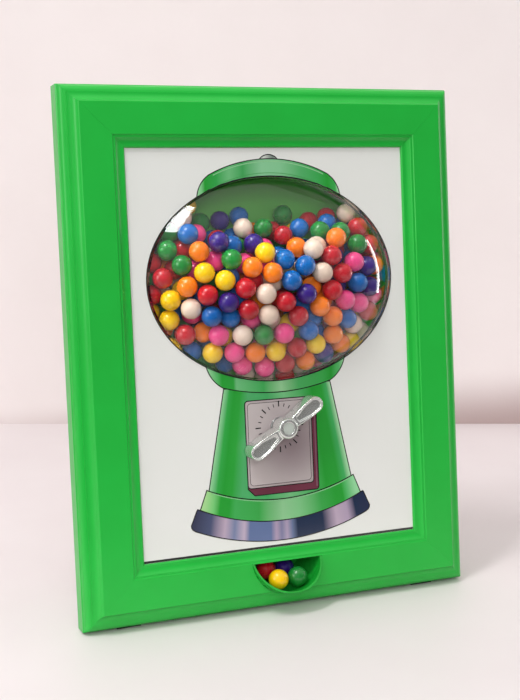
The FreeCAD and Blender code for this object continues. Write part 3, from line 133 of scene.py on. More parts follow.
def only(piece: Piece) -> None:
    """Leaves edit mode and makes one object the only selected and active one.

    Args:
        piece: The object to work on.
    """
    deselect()
    piece.select_set(True)
    bpy.context.view_layer.objects.active = piece


def deselect() -> None:
    """Leaves edit mode and deselects everything."""
    if bpy.context.object is not None and bpy.context.object.mode != "OBJECT":
        bpy.ops.object.mode_set(mode="OBJECT")
    bpy.ops.object.select_all(action="DESELECT")


def edit(piece: Piece) -> None:
    """Opens a piece in edit mode with all of it selected.

    Args:
        piece: The object to edit.
    """
    only(piece)
    bpy.ops.object.mode_set(mode="EDIT")
    bpy.ops.mesh.select_all(action="SELECT")


def leave_edit() -> None:
    """Goes back to object mode."""
    bpy.ops.object.mode_set(mode="OBJECT")


def modify(piece: Piece, kind: str, **settings: object) -> None:
    """Adds a modifier, sets it and applies it.

    Args:
        piece: The object to change.
        kind: The modifier's type.
        settings: Its settings by name.
    """
    only(piece)
    modifier = piece.modifiers.new(kind.title(), kind)
    for name, value in settings.items():
        setattr(modifier, name, value)
    bpy.ops.object.modifier_apply(modifier=modifier.name)


def settle(piece: Piece, place: Matrix | None = None) -> None:
    """Moves a piece and applies the move, so that its own origin is the row frame's.

    Args:
        piece: The object to move.
        place: Its new transform, or None to apply the one that it has.
    """
    if place is not None:
        piece.matrix_world = place
    only(piece)
    bpy.ops.object.transform_apply(location=True, rotation=True, scale=True)


def joined(pieces: list[Piece]) -> Piece:
    """Joins pieces into one.

    Args:
        pieces: The objects to join.

    Returns:
        The first of them, which now holds all.
    """
    only(pieces[0])
    for piece in pieces:
        piece.select_set(True)
    if len(pieces) > 1:
        bpy.ops.object.join()
    return bpy.context.object


def smooth(piece: Piece, degrees: float = 35) -> None:
    """Shades a piece smooth wherever it bends less than an angle."""
    only(piece)
    bpy.ops.object.shade_smooth_by_angle(angle=math.radians(degrees))


def paint(piece: Piece, *materials: Material) -> None:
    """Gives a piece its materials, slot by slot.

    Args:
        piece: The object to paint.
        materials: One material for each slot.
    """
    piece.data.materials.clear()
    for material in materials:
        piece.data.materials.append(material)


def hand_over(piece: Piece, body: str, slot: str, *nodes: str) -> None:
    """Makes a piece ride on a body and hides the nodes that it stands for.

    Args:
        piece: The finished object.
        body: The body that it moves with.
        slot: The record's material slot; not used.
        nodes: The nodes that it replaces.
    """
    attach(piece, body)
    if nodes:
        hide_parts(*nodes)
    log.info("%s rides on %s with %d faces", piece.name, body, len(piece.data.polygons))


def merged_copy(node: str) -> Piece:
    """A copy of a CAD node with its loose triangles merged into clean faces.

    Args:
        node: The node's name.

    Returns:
        The copy, in the node's place.
    """
    piece = bpy.data.objects.new(f"{node}_finished", frame["nodes"][node].data.copy())
    bpy.context.scene.collection.objects.link(piece)
    edit(piece)
    bpy.ops.mesh.customdata_custom_splitnormals_clear()
    bpy.ops.mesh.remove_doubles(threshold=WELD * MM)
    bpy.ops.mesh.dissolve_limited(angle_limit=math.radians(FLAT_DEGREES))
    leave_edit()
    return piece


def softened(node: str, width: float, segments: int = 2) -> Piece:
    """A copy of a CAD node with its sharp edges rounded.

    Args:
        node: The node's name.
        width: Width of the rounding.
        segments: Faces across the rounding.

    Returns:
        The softened copy.
    """
    piece = merged_copy(node)
    modify(piece, "BEVEL", width=width * MM, segments=segments, limit_method="ANGLE",
           angle_limit=math.radians(SHARP_DEGREES), use_clamp_overlap=True)
    smooth(piece)
    modify(piece, "WEIGHTED_NORMAL", mode="FACE_AREA", weight=100, keep_sharp=True)
    return piece


def solids_of(node: str, upright: Matrix) -> list[np.ndarray]:
    """The separate solids of a node, such as the balls or screws in it.

    Args:
        node: The node's name.
        upright: The move from the row frame to upright frame coordinates.

    Returns:
        The points of each solid, in millimetres along the frame.
    """
    mesh = frame["nodes"][node].data
    places = np.empty(len(mesh.vertices) * 3)
    mesh.vertices.foreach_get("co", places)
    places = places.reshape(-1, 3)
    cells = np.round(places / (SAME_POINT * MM)).astype(np.int64)
    welded = np.unique(cells, axis=0, return_inverse=True)[1].ravel()
    edges = np.empty(len(mesh.edges) * 2, dtype=np.int64)
    mesh.edges.foreach_get("vertices", edges)
    first, second = welded[edges.reshape(-1, 2)].T
    labels = np.arange(welded.max() + 1)
    while True:
        lowest = np.minimum(labels[first], labels[second])
        fresh = labels.copy()
        np.minimum.at(fresh, first, lowest)
        np.minimum.at(fresh, second, lowest)
        fresh = fresh[fresh]
        if (fresh == labels).all():
            break
        labels = fresh
    owners = labels[welded]
    turned = places @ np.array(upright.to_3x3()).T + np.array(upright.translation)
    return [turned[owners == owner] / MM for owner in np.unique(owners)]


class ShaderTree:
    """A node tree with short ways to add nodes and join them."""

    def __init__(self, tree: bpy.types.NodeTree) -> None:
        """Wraps a tree."""
        self.tree = tree

    def add(self, kind: str, **inputs: object) -> bpy.types.Node:
        """Adds a node and fills its inputs.

        Args:
            kind: The node type, without its prefix.
            inputs: Input names with underscores for spaces, each with a value or a socket to link.

        Returns:
            The new node.
        """
        node = self.tree.nodes.new(f"ShaderNode{kind}")
        for name, value in inputs.items():
            self.fill(node.inputs[name.replace("_", " ")], value)
        return node

    def fill(self, socket: Socket, value: object) -> None:
        """Sets a socket, or links it.

        Args:
            socket: The input to fill.
            value: A value, or an output to link from.
        """
        if isinstance(value, Socket):
            self.tree.links.new(value, socket)
        else:
            socket.default_value = value

    def maths(self, operation: str, first: object, second: object) -> Socket:
        """Adds a Math node.

        Args:
            operation: The operation's name.
            first: The first value or socket.
            second: The second value or socket.

        Returns:
            The result.
        """
        node = self.add("Math")
        node.operation = operation
        self.fill(node.inputs[0], first)
        self.fill(node.inputs[1], second)
        return node.outputs[0]

    def dot(self, vector: Socket, direction: Vector) -> Socket:
        """How far a vector reaches along a direction.

        Args:
            vector: The vector's socket.
            direction: The direction.

        Returns:
            The reach.
        """
        node = self.add("VectorMath")
        node.operation = "DOT_PRODUCT"
        self.fill(node.inputs[0], vector)
        self.fill(node.inputs[1], tuple(direction))
        return node.outputs["Value"]

    def blend(self, factor: object, first: Colour, second: object) -> Socket:
        """Mixes two colours.

        Args:
            factor: How much of the second colour shows.
            first: The first colour.
            second: The second colour or socket.

        Returns:
            The mixed colour.
        """
        node = self.tree.nodes.new("ShaderNodeMix")
        node.data_type = "RGBA"
        self.fill(node.inputs["Factor"], factor)
        for name, colour in (("A", first), ("B", second)):
            socket = next(item for item in node.inputs if item.name == name and item.type == "RGBA")
            linked = isinstance(colour, Socket)
            self.fill(socket, colour if linked else (*colour, 1.0))
        return next(item for item in node.outputs if item.type == "RGBA")

    def ramp(self, value: Socket, between: Range = (0.0, 1.0), ends: Range = (0.0, 1.0),
             soft: bool = False) -> Socket:
        """Goes from one value to another while the input crosses a range.

        Args:
            value: The input.
            between: The range that it crosses.
            ends: The results at both ends of it.
            soft: True to start and stop gently.

        Returns:
            The result.
        """
        node = self.add("MapRange", Value=value, From_Min=between[0], From_Max=between[1],
                        To_Min=ends[0], To_Max=ends[1])
        node.interpolation_type = "SMOOTHSTEP" if soft else "LINEAR"
        return node.outputs["Result"]

    def effect(self, effect: "Effect", coordinates: Socket, scale: float) -> Socket:
        """Adds a shared surface effect.

        Args:
            effect: Which effect.
            coordinates: Object coordinates.
            scale: How fine it is.

        Returns:
            The effect, from 0 to 1.
        """
        node = self.add("Group")
        node.node_tree = effect_group(effect)
        self.fill(node.inputs["Vector"], coordinates)
        self.fill(node.inputs["Scale"], scale)
        return node.outputs["Value"]


class Effect(Enum):
    """Surface effects that several finishes share."""

    MOTTLE = "Mottle"
    GRAIN = "Grain"


def effect_group(effect: Effect) -> bpy.types.NodeTree:
    """The shader node group of an effect, built once.

    Args:
        effect: Which effect.

    Returns:
        The group, with Vector and Scale inputs and one output from 0 to 1.
    """
    existing = bpy.data.node_groups.get(effect.value)
    if existing is not None:
        return existing
    group = bpy.data.node_groups.new(effect.value, "ShaderNodeTree")
    group.interface.new_socket("Vector", in_out="INPUT", socket_type="NodeSocketVector")
    group.interface.new_socket("Scale", in_out="INPUT", socket_type="NodeSocketFloat")
    group.interface.new_socket("Value", in_out="OUTPUT", socket_type="NodeSocketFloat")
    tree = ShaderTree(group)
    entry = group.nodes.new("NodeGroupInput")
    leave = group.nodes.new("NodeGroupOutput")
    noise = tree.add("TexNoise", Vector=entry.outputs["Vector"], Scale=entry.outputs["Scale"])
    result = noise.outputs["Fac"]
    if effect is Effect.MOTTLE:
        noise.inputs["Detail"].default_value = 3.0
        broad = tree.maths("MULTIPLY", entry.outputs["Scale"], CLOUD_SHARE)
        cloud = tree.add("TexNoise", Vector=entry.outputs["Vector"], Scale=broad, Detail=2.0)
        mean = tree.maths("MULTIPLY", tree.maths("ADD", result, cloud.outputs["Fac"]), 0.5)
        result = tree.ramp(mean, MOTTLE_RANGE)
    else:
        noise.inputs["Detail"].default_value = 2.0
        noise.inputs["Roughness"].default_value = 0.6
    tree.fill(leave.inputs["Value"], result)
    return group


@dataclass(frozen=True)
class Finish:
    """A finish whose colour wanders between two shades over a fine surface texture."""

    name: str
    shade: Colour
    deep: Colour
    roughness: Range = (0.3, 0.42)
    mottle: float = 45.0
    grain: float = 900.0
    grain_height: float = 0.05
    metallic: float = 0.0
    coat: float = 0.0
    coat_roughness: float = 0.06
    ior: float = 1.5

    def build(self) -> Material:
        """The finish as a material on Object coordinates, built once."""
        existing = bpy.data.materials.get(self.name)
        if existing is not None:
            return existing
        material, tree, shader = new_material(self.name)
        coordinates = tree.add("TexCoord").outputs["Object"]
        tone = tree.effect(Effect.MOTTLE, coordinates, self.mottle)
        tree.fill(shader.inputs["Base Color"], self.colour(tree, coordinates, tone))
        tree.fill(shader.inputs["Roughness"], tree.ramp(tone, ends=self.roughness))
        grain = tree.effect(Effect.GRAIN, coordinates, self.grain)
        bump = tree.add("Bump", Height=grain, Strength=GRAIN_STRENGTH,
                        Distance=self.grain_height * MM)
        tree.fill(shader.inputs["Normal"], bump.outputs["Normal"])
        for name, value in (("Metallic", self.metallic), ("Coat Weight", self.coat),
                            ("Coat Roughness", self.coat_roughness), ("IOR", self.ior)):
            shader.inputs[name].default_value = value
        return material

    def colour(self, tree: ShaderTree, coordinates: Socket, tone: Socket) -> Socket:
        """The colour over the surface, by the mottle from 0 to 1."""
        return tree.blend(tone, self.shade, self.deep)


def new_material(name: str) -> tuple[Material, ShaderTree, bpy.types.Node]:
    """An empty material with a Principled shader on its output.

    Args:
        name: The material's name.

    Returns:
        The material, its tree and the shader node.
    """
    material = bpy.data.materials.new(name)
    material.use_nodes = True
    material.node_tree.nodes.clear()
    tree = ShaderTree(material.node_tree)
    shader = tree.add("BsdfPrincipled")
    output = tree.add("OutputMaterial")
    tree.fill(output.inputs["Surface"], shader.outputs["BSDF"])
    return material, tree, shader


def show_through(material: Material, share: Socket) -> None:
    """Lets a material be looked through by a share.

    Args:
        material: A material with a Principled shader on its output.
        share: How much shows through, from 0 to 1.
    """
    tree = ShaderTree(material.node_tree)
    nodes = {node.type: node for node in material.node_tree.nodes}
    mix = tree.add("MixShader", Fac=share)
    tree.fill(mix.inputs[1], nodes["BSDF_PRINCIPLED"].outputs["BSDF"])
    tree.fill(mix.inputs[2], tree.add("BsdfTransparent").outputs["BSDF"])
    tree.fill(nodes["OUTPUT_MATERIAL"].inputs["Surface"], mix.outputs["Shader"])


@dataclass(frozen=True)
class Ink(Finish):
    """A printed colour under the panel's gloss."""

    roughness: Range = (0.14, 0.22)
    coat: float = 1.0
    coat_roughness: float = 0.03


@dataclass(frozen=True)
class BandedInk(Ink):
    """A printed gradient: bands of colour across a drawn shape that may widen downwards."""

    stops: tuple[tuple[float, Colour], ...] = ()
    half_width: float = 60.0
    level: float = 0.0
    flare: float = 0.0
    lean: LeaningFrame | None = None

    def colour(self, tree: ShaderTree, coordinates: Socket, tone: Socket) -> Socket:
        """The bands, placed across the drawn shape.

        Args:
            tree: The material's tree.
            coordinates: Object coordinates.
            tone: The mottle, which a print doesn't show.

        Returns:
            The colour's socket.
        """
        across = tree.dot(coordinates, Vector((1, 0, 0)) / MM)
        start = self.lean.origin.dot(self.lean.up) / MM + self.level
        along = tree.maths("SUBTRACT", tree.dot(coordinates, self.lean.up / MM), start)
        width = tree.maths("ADD", tree.maths("MULTIPLY", along, -self.flare), self.half_width)
        place = tree.maths("MULTIPLY_ADD", tree.maths("DIVIDE", across, width), 0.5)
        place.node.inputs[2].default_value = 0.5
        ramp = tree.add("ValToRGB", Fac=place)
        steps = ramp.color_ramp.elements
        while len(steps) < len(self.stops):
            steps.new(0.5)
        for step, (position, colour) in zip(steps, self.stops):
            step.position = (position + 1) / 2
            step.color = (*colour, 1.0)
        return ramp.outputs["Color"]


@dataclass(frozen=True)
class CrankShadowInk(Ink):
    """A printed colour with painted shade, darkest at one point where the crank handle's shadow
    falls.
    """

    centre: Place = (0.0, 0.0, 0.0)
    reach: float = 40.0

    def colour(self, tree: ShaderTree, coordinates: Socket, tone: Socket) -> Socket:
        """The colour, from the painted shadow's dark point outwards.

        Args:
            tree: The material's tree.
            coordinates: Object coordinates.
            tone: The mottle, which a print doesn't show.

        Returns:
            The colour's socket.
        """
        apart = tree.add("VectorMath")
        apart.operation = "DISTANCE"
        tree.fill(apart.inputs[0], coordinates)
        tree.fill(apart.inputs[1], self.centre)
        fade = tree.ramp(apart.outputs["Value"], (0.0, self.reach * MM), soft=True)
        return tree.blend(fade, self.deep, self.shade)


@dataclass(frozen=True)
class FadingBackdrop(Finish):
    """A pale floor or wall that fades into shade at one side."""

    ahead: Place = (0.0, 1.0, 0.0)
    fade: Range = (0.0, 1.0)
    shaded: Colour = srgb(66, 63, 62)

    def colour(self, tree: ShaderTree, coordinates: Socket, tone: Socket) -> Socket:
        """The pale colour, and the shaded one where the fade starts."""
        pale = tree.ramp(tree.dot(coordinates, Vector(self.ahead)), self.fade, soft=True)
        return tree.blend(pale, self.shaded, tree.blend(tone, self.shade, self.deep))


@dataclass(frozen=True)
class ClearPlastic:
    """Clear moulded plastic that lets lamps through, with faint smears on its gloss."""

    name: str
    tint: Colour
    smear_scale: float = 14.0
    roughness: Range = (0.0, 0.02)
    ior: float = 1.36

    def build(self) -> Material:
        """The plastic as a material."""
        material, tree, shader = new_material(self.name)
        coordinates = tree.add("TexCoord").outputs["Object"]
        smear = tree.effect(Effect.MOTTLE, coordinates, self.smear_scale)
        tree.fill(shader.inputs["Roughness"], tree.ramp(smear, ends=self.roughness))
        shader.inputs["Base Color"].default_value = (*self.tint, 1.0)
        shader.inputs["Transmission Weight"].default_value = 1.0
        shader.inputs["IOR"].default_value = self.ior
        show_through(material, tree.add("LightPath").outputs["Is Shadow Ray"])
        return material


@dataclass(frozen=True)
class SugarShell(Finish):
    """A gumball's glossy sugar shell, a little lighter or darker from ball to ball."""

    roughness: Range = (0.2, 0.34)
    mottle: float = 160.0
    grain: float = 520.0
    grain_height: float = 0.09
    coat: float = 0.45
    coat_roughness: float = 0.12
    ior: float = 1.48

    def colour(self, tree: ShaderTree, coordinates: Socket, tone: Socket) -> Socket:
        """The shell's colour, which depends on the ball as well as on the place on it.

        Args:
            tree: The material's tree.
            coordinates: Object coordinates.
            tone: The mottle from 0 to 1.

        Returns:
            The colour's socket.
        """
        ball = tree.add("Attribute")
        ball.attribute_name = BALL_TONE
        mean = tree.maths("MULTIPLY", tree.maths("ADD", ball.outputs["Fac"], tone), 0.5)
        return tree.blend(mean, self.shade, self.deep)


PLAIN_MOTTLE = 20.0
# The black of the printed outlines, also used for the painted shadow in the gap under the frame's
# lower lip.
LINE_BLACK = Ink("print_line_and_gap_shadow", srgb(22, 26, 24), srgb(34, 36, 34), (0.14, 0.2))

GREEN_PALE = srgb(165, 218, 168)
GREEN_SOFT = srgb(112, 194, 128)
GREEN_MID = srgb(70, 174, 98)
GREEN_FULL = srgb(38, 160, 52)

LID_BANDS = ((-1.0, GREEN_PALE), (-0.93, srgb(130, 205, 140)), (-0.88, GREEN_FULL),
             (-0.72, srgb(52, 166, 76)), (-0.55, GREEN_SOFT), (-0.36, srgb(66, 166, 88)),
             (-0.1, srgb(140, 205, 155)), (0.15, srgb(135, 203, 150)), (0.45, srgb(84, 178, 105)),
             (0.68, srgb(60, 170, 84)), (0.82, GREEN_FULL), (0.93, srgb(60, 170, 80)),
             (0.97, GREEN_PALE))
COLLAR_BANDS = ((-1.0, GREEN_PALE), (-0.86, srgb(96, 190, 112)), (-0.78, GREEN_FULL),
                (-0.62, srgb(44, 164, 60)), (-0.58, GREEN_SOFT), (-0.2, srgb(66, 174, 88)),
                (0.05, srgb(150, 208, 152)), (0.3, srgb(78, 178, 98)), (0.66, srgb(60, 172, 78)),
                (0.78, GREEN_FULL), (0.9, srgb(90, 188, 108)), (0.98, GREEN_PALE))
BODY_BANDS = ((-1.0, GREEN_PALE), (-0.93, GREEN_SOFT), (-0.88, srgb(52, 168, 72)),
              (-0.79, GREEN_FULL), (-0.68, srgb(44, 164, 58)), (-0.54, srgb(80, 174, 106)),
              (-0.2, GREEN_MID), (0.1, srgb(120, 198, 134)), (0.45, srgb(72, 176, 92)),
              (0.62, GREEN_FULL), (0.8, srgb(42, 162, 56)), (0.9, GREEN_MID), (0.97, GREEN_PALE))
SKIRT_BANDS = ((-1.0, srgb(170, 220, 150)), (-0.88, srgb(120, 205, 120)), (-0.8, GREEN_FULL),
               (-0.68, GREEN_FULL), (-0.6, srgb(66, 174, 86)), (-0.3, srgb(58, 166, 74)),
               (0.0, srgb(146, 206, 150)), (0.22, srgb(128, 200, 136)), (0.5, srgb(60, 168, 76)),
               (0.7, GREEN_FULL), (0.8, GREEN_FULL), (0.86, srgb(84, 186, 104)),
               (0.98, srgb(150, 215, 160)))
KNOB_BANDS = ((-1.0, srgb(168, 176, 168)), (-0.45, srgb(214, 220, 212)),
              (0.1, srgb(150, 160, 152)), (0.45, srgb(116, 128, 120)), (1.0, srgb(176, 184, 176)))
STEEL_DARK = srgb(26, 44, 74)
STEEL_BLUE = srgb(100, 118, 160)
STEEL_LILAC = srgb(190, 170, 190)
FOOT_BANDS = ((-1.0, srgb(58, 62, 86)), (-0.82, srgb(78, 86, 118)), (-0.66, STEEL_LILAC),
              (-0.55, srgb(122, 134, 168)), (-0.44, srgb(196, 178, 198)), (-0.38, STEEL_BLUE),
              (-0.14, STEEL_BLUE), (-0.08, srgb(178, 158, 184)), (-0.02, srgb(128, 128, 162)),
              (0.04, srgb(176, 160, 186)), (0.1, srgb(108, 122, 158)), (0.16, STEEL_DARK),
              (0.46, STEEL_DARK), (0.62, STEEL_LILAC), (0.76, srgb(176, 158, 182)),
              (0.86, STEEL_DARK), (1.0, srgb(34, 44, 74)))
MAROON = (srgb(120, 58, 76), srgb(98, 44, 60))
ROSE = (srgb(140, 92, 108), srgb(124, 76, 92))
# The plate's printed colours, each with a darker shade for the painted shadow of the crank handle.
MAUVE_AND_SHADE = (srgb(186, 174, 174), srgb(146, 128, 134))
PLATE_GREY_AND_SHADE = (srgb(196, 186, 185), srgb(146, 130, 134))


def arc(start: Point, middle: Point, end: Point, steps: int = 14) -> list[Point]:
    """Points on the round arc through three points, without its last one.

    Args:
        start: The first point.
        middle: A point on the way.
        end: The last point.
        steps: Number of stretches.

    Returns:
        The points in order.
    """
    (ax, ay), (bx, by), (cx, cy) = start, middle, end
    turn = 2 * (ax * (by - cy) + bx * (cy - ay) + cx * (ay - by))
    squares = [x * x + y * y for x, y in (start, middle, end)]
    centre_x = (squares[0] * (by - cy) + squares[1] * (cy - ay) + squares[2] * (ay - by)) / turn
    centre_y = (squares[0] * (cx - bx) + squares[1] * (ax - cx) + squares[2] * (bx - ax)) / turn
    radius = math.hypot(ax - centre_x, ay - centre_y)
    angles = [math.atan2(y - centre_y, x - centre_x) for x, y in (start, middle, end)]
    sweep = (angles[2] - angles[0]) % math.tau
    if (angles[1] - angles[0]) % math.tau > sweep:
        sweep -= math.tau
    turns = [angles[0] + sweep * step / steps for step in range(steps)]
    return [(centre_x + radius * math.cos(angle), centre_y + radius * math.sin(angle))
            for angle in turns]


def mirrored(points: list[Point]) -> list[Point]:
    """The same points on the other side of the middle line, in reverse order."""
    return [(-x, z) for x, z in reversed(points)]


@dataclass
class PrintedMachine:
    """The drawn gumball machine on the panel, as thin layers of ink with black outlines, and a
    painted shadow along the panel's lower edge.
    """

    lean: LeaningFrame
    panel_front: float = 5.0
    layer: float = 0.05
    line: float = 0.75
    thin_line: float = 0.35
    hair_line: float = 0.02
    overlap: float = 1.0
    globe_centre: float = 241.6
    globe_half_width: float = 95.95
    globe_half_height: float = 73.85
    globe_line: float = 0.65
    globe_steps: int = 128
    crank_height: float = 133.4
    lid_half: float = 56.6
    lid_foot: float = 301.0
    lid_top: float = 328.9
    lid_bulge: Point = (0.955, 309.8)
    lid_shoulder: Point = (0.83, 317.6)
    lid_gap: float = 0.4
    shine_drop: float = 2.3
    shine_half: float = 0.35
    seam_share: float = 0.9
    seam_rise: float = 2.6
    seam_half: float = 0.22
    knob_half: float = 7.8
    knob_top: float = 332.0
    collar_half: float = 55.6
    collar_top: float = 182.6
    collar_bulge: Point = (0.94, 173.6)
    collar_rim: float = 167.6
    collar_low: float = 158.4
    collar_level: float = 182.0
    body_top_half: float = 42.6
    body_top: float = 164.3
    body_half: float = 57.3
    body_low: float = 91.9
    body_tuck: float = 2.0
    skirt_half: float = 58.8
    skirt_rise: float = 0.6
    skirt_sag: float = 80.2
    skirt_foot_half: float = 64.6
    skirt_foot: float = 78.0
    skirt_shine_drop: float = 1.3
    skirt_shine_half: float = 0.32
    foot_sag: float = 63.6
    foot_half: float = 66.2
    foot_top: float = 79.4
    foot_chamfer: Point = (0.9, 1.2)
    foot_low_half: float = 71.8
    foot_low: float = 66.0
    foot_corner: tuple[Point, ...] = ((0.0, 1.6), (0.3, -0.3), (1.3, -1.9), (3.4, -3.2))
    foot_bottom: float = 48.9
    flare_share: float = 0.5
    plate_left: float = -27.0
    plate_right: float = 26.3
    plate_top: float = 154.2
    plate_bottom: float = 89.2
    plate_edge: float = 5.4
    plate_side: float = 4.0
    plate_round: float = 2.8
    plate_edge_round: float = 2.6
    bend_sag: float = 0.29
    plate_inset: float = 2.2
    plate_light: Point = (1.5, 1.2)
    # Where the painted shadow of the crank handle is darkest on the plate, and how far it fades.
    crank_shadow_centre: Point = (9.0, 122.0)
    crank_shadow_reach: float = 42.0
    sight_half: float = 107.9
    sight_low: float = 44.6
    # Height of the painted shadow along the panel's lower edge.
    gap_shadow_width: float = 1.7
    tick_count: int = 24
    tick_radius: float = 14.8
    long_tick: Point = (4.2, 0.45)
    short_tick: Point = (2.4, 0.3)
    arc_steps: int = 28

    def build(self) -> None:
        """Prints every shape, from the lowest layer up."""
        self.lid_shapes()
        self.body_shapes()
        self.foot_shapes()
        self.coin_plate()
        self.globe_ring()
        self.lay_gap_shadow()

    def lid_shapes(self) -> None:
        """The lid over the globe, its knob and the fine lines on it."""
        end = (self.knob_half, self.lid_top - self.overlap)
        knob = arc((-end[0], end[1]), (0, self.knob_top), end, 18) + [end]
        self.shape("print_lid_knob", knob, 1,
                   self.bands("print_knob_grey", KNOB_BANDS, self.knob_half, self.lid_top))
        shoulder = (self.lid_half * self.lid_shoulder[0], self.lid_shoulder[1])
        start = (-shoulder[0], shoulder[1])
        bulge = (-self.lid_half * self.lid_bulge[0], self.lid_bulge[1])
        side = arc((-self.lid_half, self.lid_foot), bulge, start, 8)
        crown = arc(start, (0, self.lid_top), shoulder, 24)
        outline = side + crown + [shoulder] + mirrored(side)[1:]
        outline += self.globe_edge(self.lid_half, 12)
        self.shape("print_lid", outline, 2,
                   self.bands("print_lid_green", LID_BANDS, self.lid_half, self.lid_foot))
        shine = [(x, z - self.shine_drop) for x, z in crown[1:]]
        self.ribbon("print_lid_shine", shine, self.shine_half, 3, GREEN_PALE)
        seam = [(x * self.seam_share, z + self.seam_rise)
                for x, z in self.globe_edge(self.lid_half, 24)]
        self.ribbon("print_lid_seam", seam, self.seam_half, 3, GREEN_FULL)

    def globe_edge(self, half: float, steps: int) -> list[Point]:
        """Points from right to left along the globe's upper edge, a little outside it.

        Args:
            half: How far to each side they start and end.
            steps: Number of stretches.

        Returns:
            The points between both ends.
        """
        places = [half * (1 - 2 * step / steps) for step in range(1, steps)]
        reach = self.globe_half_height + self.lid_gap
        return [(x, self.globe_centre + reach * math.sqrt(1 - (x / self.globe_half_width) ** 2))
                for x in places]

    def body_shapes(self) -> None:
        """The body, and the collar between it and the globe."""
        low = (self.body_half, self.body_low - self.overlap)
        low_left = (-low[0], low[1])
        body = [(-self.body_top_half, self.body_top), low_left]
        body += arc(low_left, (0, self.skirt_sag - self.body_tuck), low)[1:]
        body += [low, (self.body_top_half, self.body_top)]
        flare = (self.body_half - self.body_top_half) / (self.body_top - self.body_low)
        self.shape("print_body", body, 2,
                   self.bands("print_body_green", BODY_BANDS, self.body_top_half, self.body_top,
                              flare))
        top, neck = (self.collar_half, self.collar_top), (self.body_top_half, self.body_top)
        top_left, neck_left = (-top[0], top[1]), (-neck[0], neck[1])
        bulge = (-self.collar_half * self.collar_bulge[0], self.collar_bulge[1])
        side = arc(top_left, bulge, neck_left, 10)
        outline = side + arc(neck_left, (0, self.collar_low), neck, 20) + [neck] + mirrored(side)
        outline += arc(top, (0, self.collar_rim), top_left, 24)[1:]
        self.shape("print_collar", outline, 4,
                   self.bands("print_collar_green", COLLAR_BANDS, self.collar_half,
                              self.collar_level))

    def foot_shapes(self) -> None:
        """The skirt and the steel foot under the body."""
        steps = self.arc_steps
        corner = [(-self.foot_low_half + x, self.foot_low + z) for x, z in self.foot_corner]
        top = (self.foot_half, self.foot_top)
        bevel = (self.foot_half + self.foot_chamfer[0], self.foot_top - self.foot_chamfer[1])
        foot = [(-bevel[0], bevel[1])] + corner
        foot += arc(corner[-1], (0, self.foot_bottom), mirrored(corner)[0], steps)[1:]
        foot += mirrored(corner) + [bevel, top]
        foot += arc(top, (0, self.foot_sag + self.overlap), (-top[0], top[1]), steps)[1:]
        foot.append((-top[0], top[1]))
        flare = (self.foot_low_half - self.foot_half) / (self.foot_top - self.foot_low)
        self.shape("print_foot", foot, 3,
                   self.bands("print_foot_steel", FOOT_BANDS, self.foot_half, self.foot_top,
                              flare * self.flare_share))
        top = (self.skirt_half, self.body_low + self.skirt_rise)
        low = (self.skirt_foot_half, self.skirt_foot)
        top_left, low_left = (-top[0], top[1]), (-low[0], low[1])
        skirt = [top_left, low_left] + arc(low_left, (0, self.foot_sag), low, steps)[1:]
        skirt += [low, top]
        skirt += arc(top, (0, self.skirt_sag), top_left, steps)[1:]
        flare = (self.skirt_foot_half - self.skirt_half) / (self.body_low - self.skirt_foot)
        self.shape("print_skirt", skirt, 5,
                   self.bands("print_skirt_green", SKIRT_BANDS, self.skirt_half, self.body_low,
                              flare * self.flare_share))
        edge = arc(top_left, (0, self.skirt_sag), top, steps)[1:]
        shine = [(x, z - self.skirt_shine_drop) for x, z in edge]
        self.ribbon("print_skirt_shine", shine, self.skirt_shine_half, 6, GREEN_PALE)

    def coin_plate(self) -> None:
        """The drawn plate round the crank: its thick edge, its face with a painted shadow of the
        crank handle, and a ring of dial ticks.
        """
        left, right = self.plate_left, self.plate_right
        top, bottom = self.plate_top, self.plate_bottom
        outer, low = right + self.plate_side, bottom - self.plate_edge
        bend, upper = self.plate_edge_round, top - self.plate_side
        thick = [(left, top - bend), (left, bottom), (left + self.plate_edge, low)]
        sag = bend * self.bend_sag
        thick += arc((outer - bend, low), (outer - sag, low + sag), (outer, low + bend), 6)
        thick += [(outer, low + bend), (outer, upper - bend), (right, top - bend),
                  (right - bend, top - self.overlap), (left + bend, top - self.overlap)]
        self.shape("print_plate_edge", thick, 5, self.plain("print_plate_maroon", *MAROON))
        near, far = right + self.plate_light[0], outer - self.plate_light[1]
        light = [(near, low + bend), (far, low + bend), (far, upper - bend), (near, upper)]
        self.shape("print_plate_edge_light", light, 6, self.plain("print_plate_rose", *ROSE),
                   line=self.hair_line)
        # The face and the panel carry a painted shadow of the crank handle, beside the crank.
        self.shape("print_plate_face", self.rounded(left, right, bottom, top), 6,
                   self.shaded_by_crank("print_plate_mauve", *MAUVE_AND_SHADE))
        inset = self.plate_inset
        self.shape("print_plate_panel",
                   self.rounded(left + inset, right - inset, bottom + inset, top - inset), 7,
                   self.shaded_by_crank("print_plate_grey", *PLATE_GREY_AND_SHADE), line=self.thin_line)
        self.ticks()

    def rounded(self, left: float, right: float, low: float, high: float) -> list[Point]:
        """A rectangle with the plate's round corners.

        Args:
            left: Left edge.
            right: Right edge.
            low: Lower edge.
            high: Upper edge.

        Returns:
            Its outline.
        """
        points = []
        radius = self.plate_round
        corners = ((left, low, 180), (right, low, 270), (right, high, 0), (left, high, 90))
        for x, z, first in corners:
            middle_x = x + math.copysign(radius, left + right - 2 * x)
            middle_z = z + math.copysign(radius, low + high - 2 * z)
            turns = [math.radians(first + 90 * step / 4) for step in range(5)]
            points += [(middle_x + radius * math.cos(turn), middle_z + radius * math.sin(turn))
                       for turn in turns]
        return points

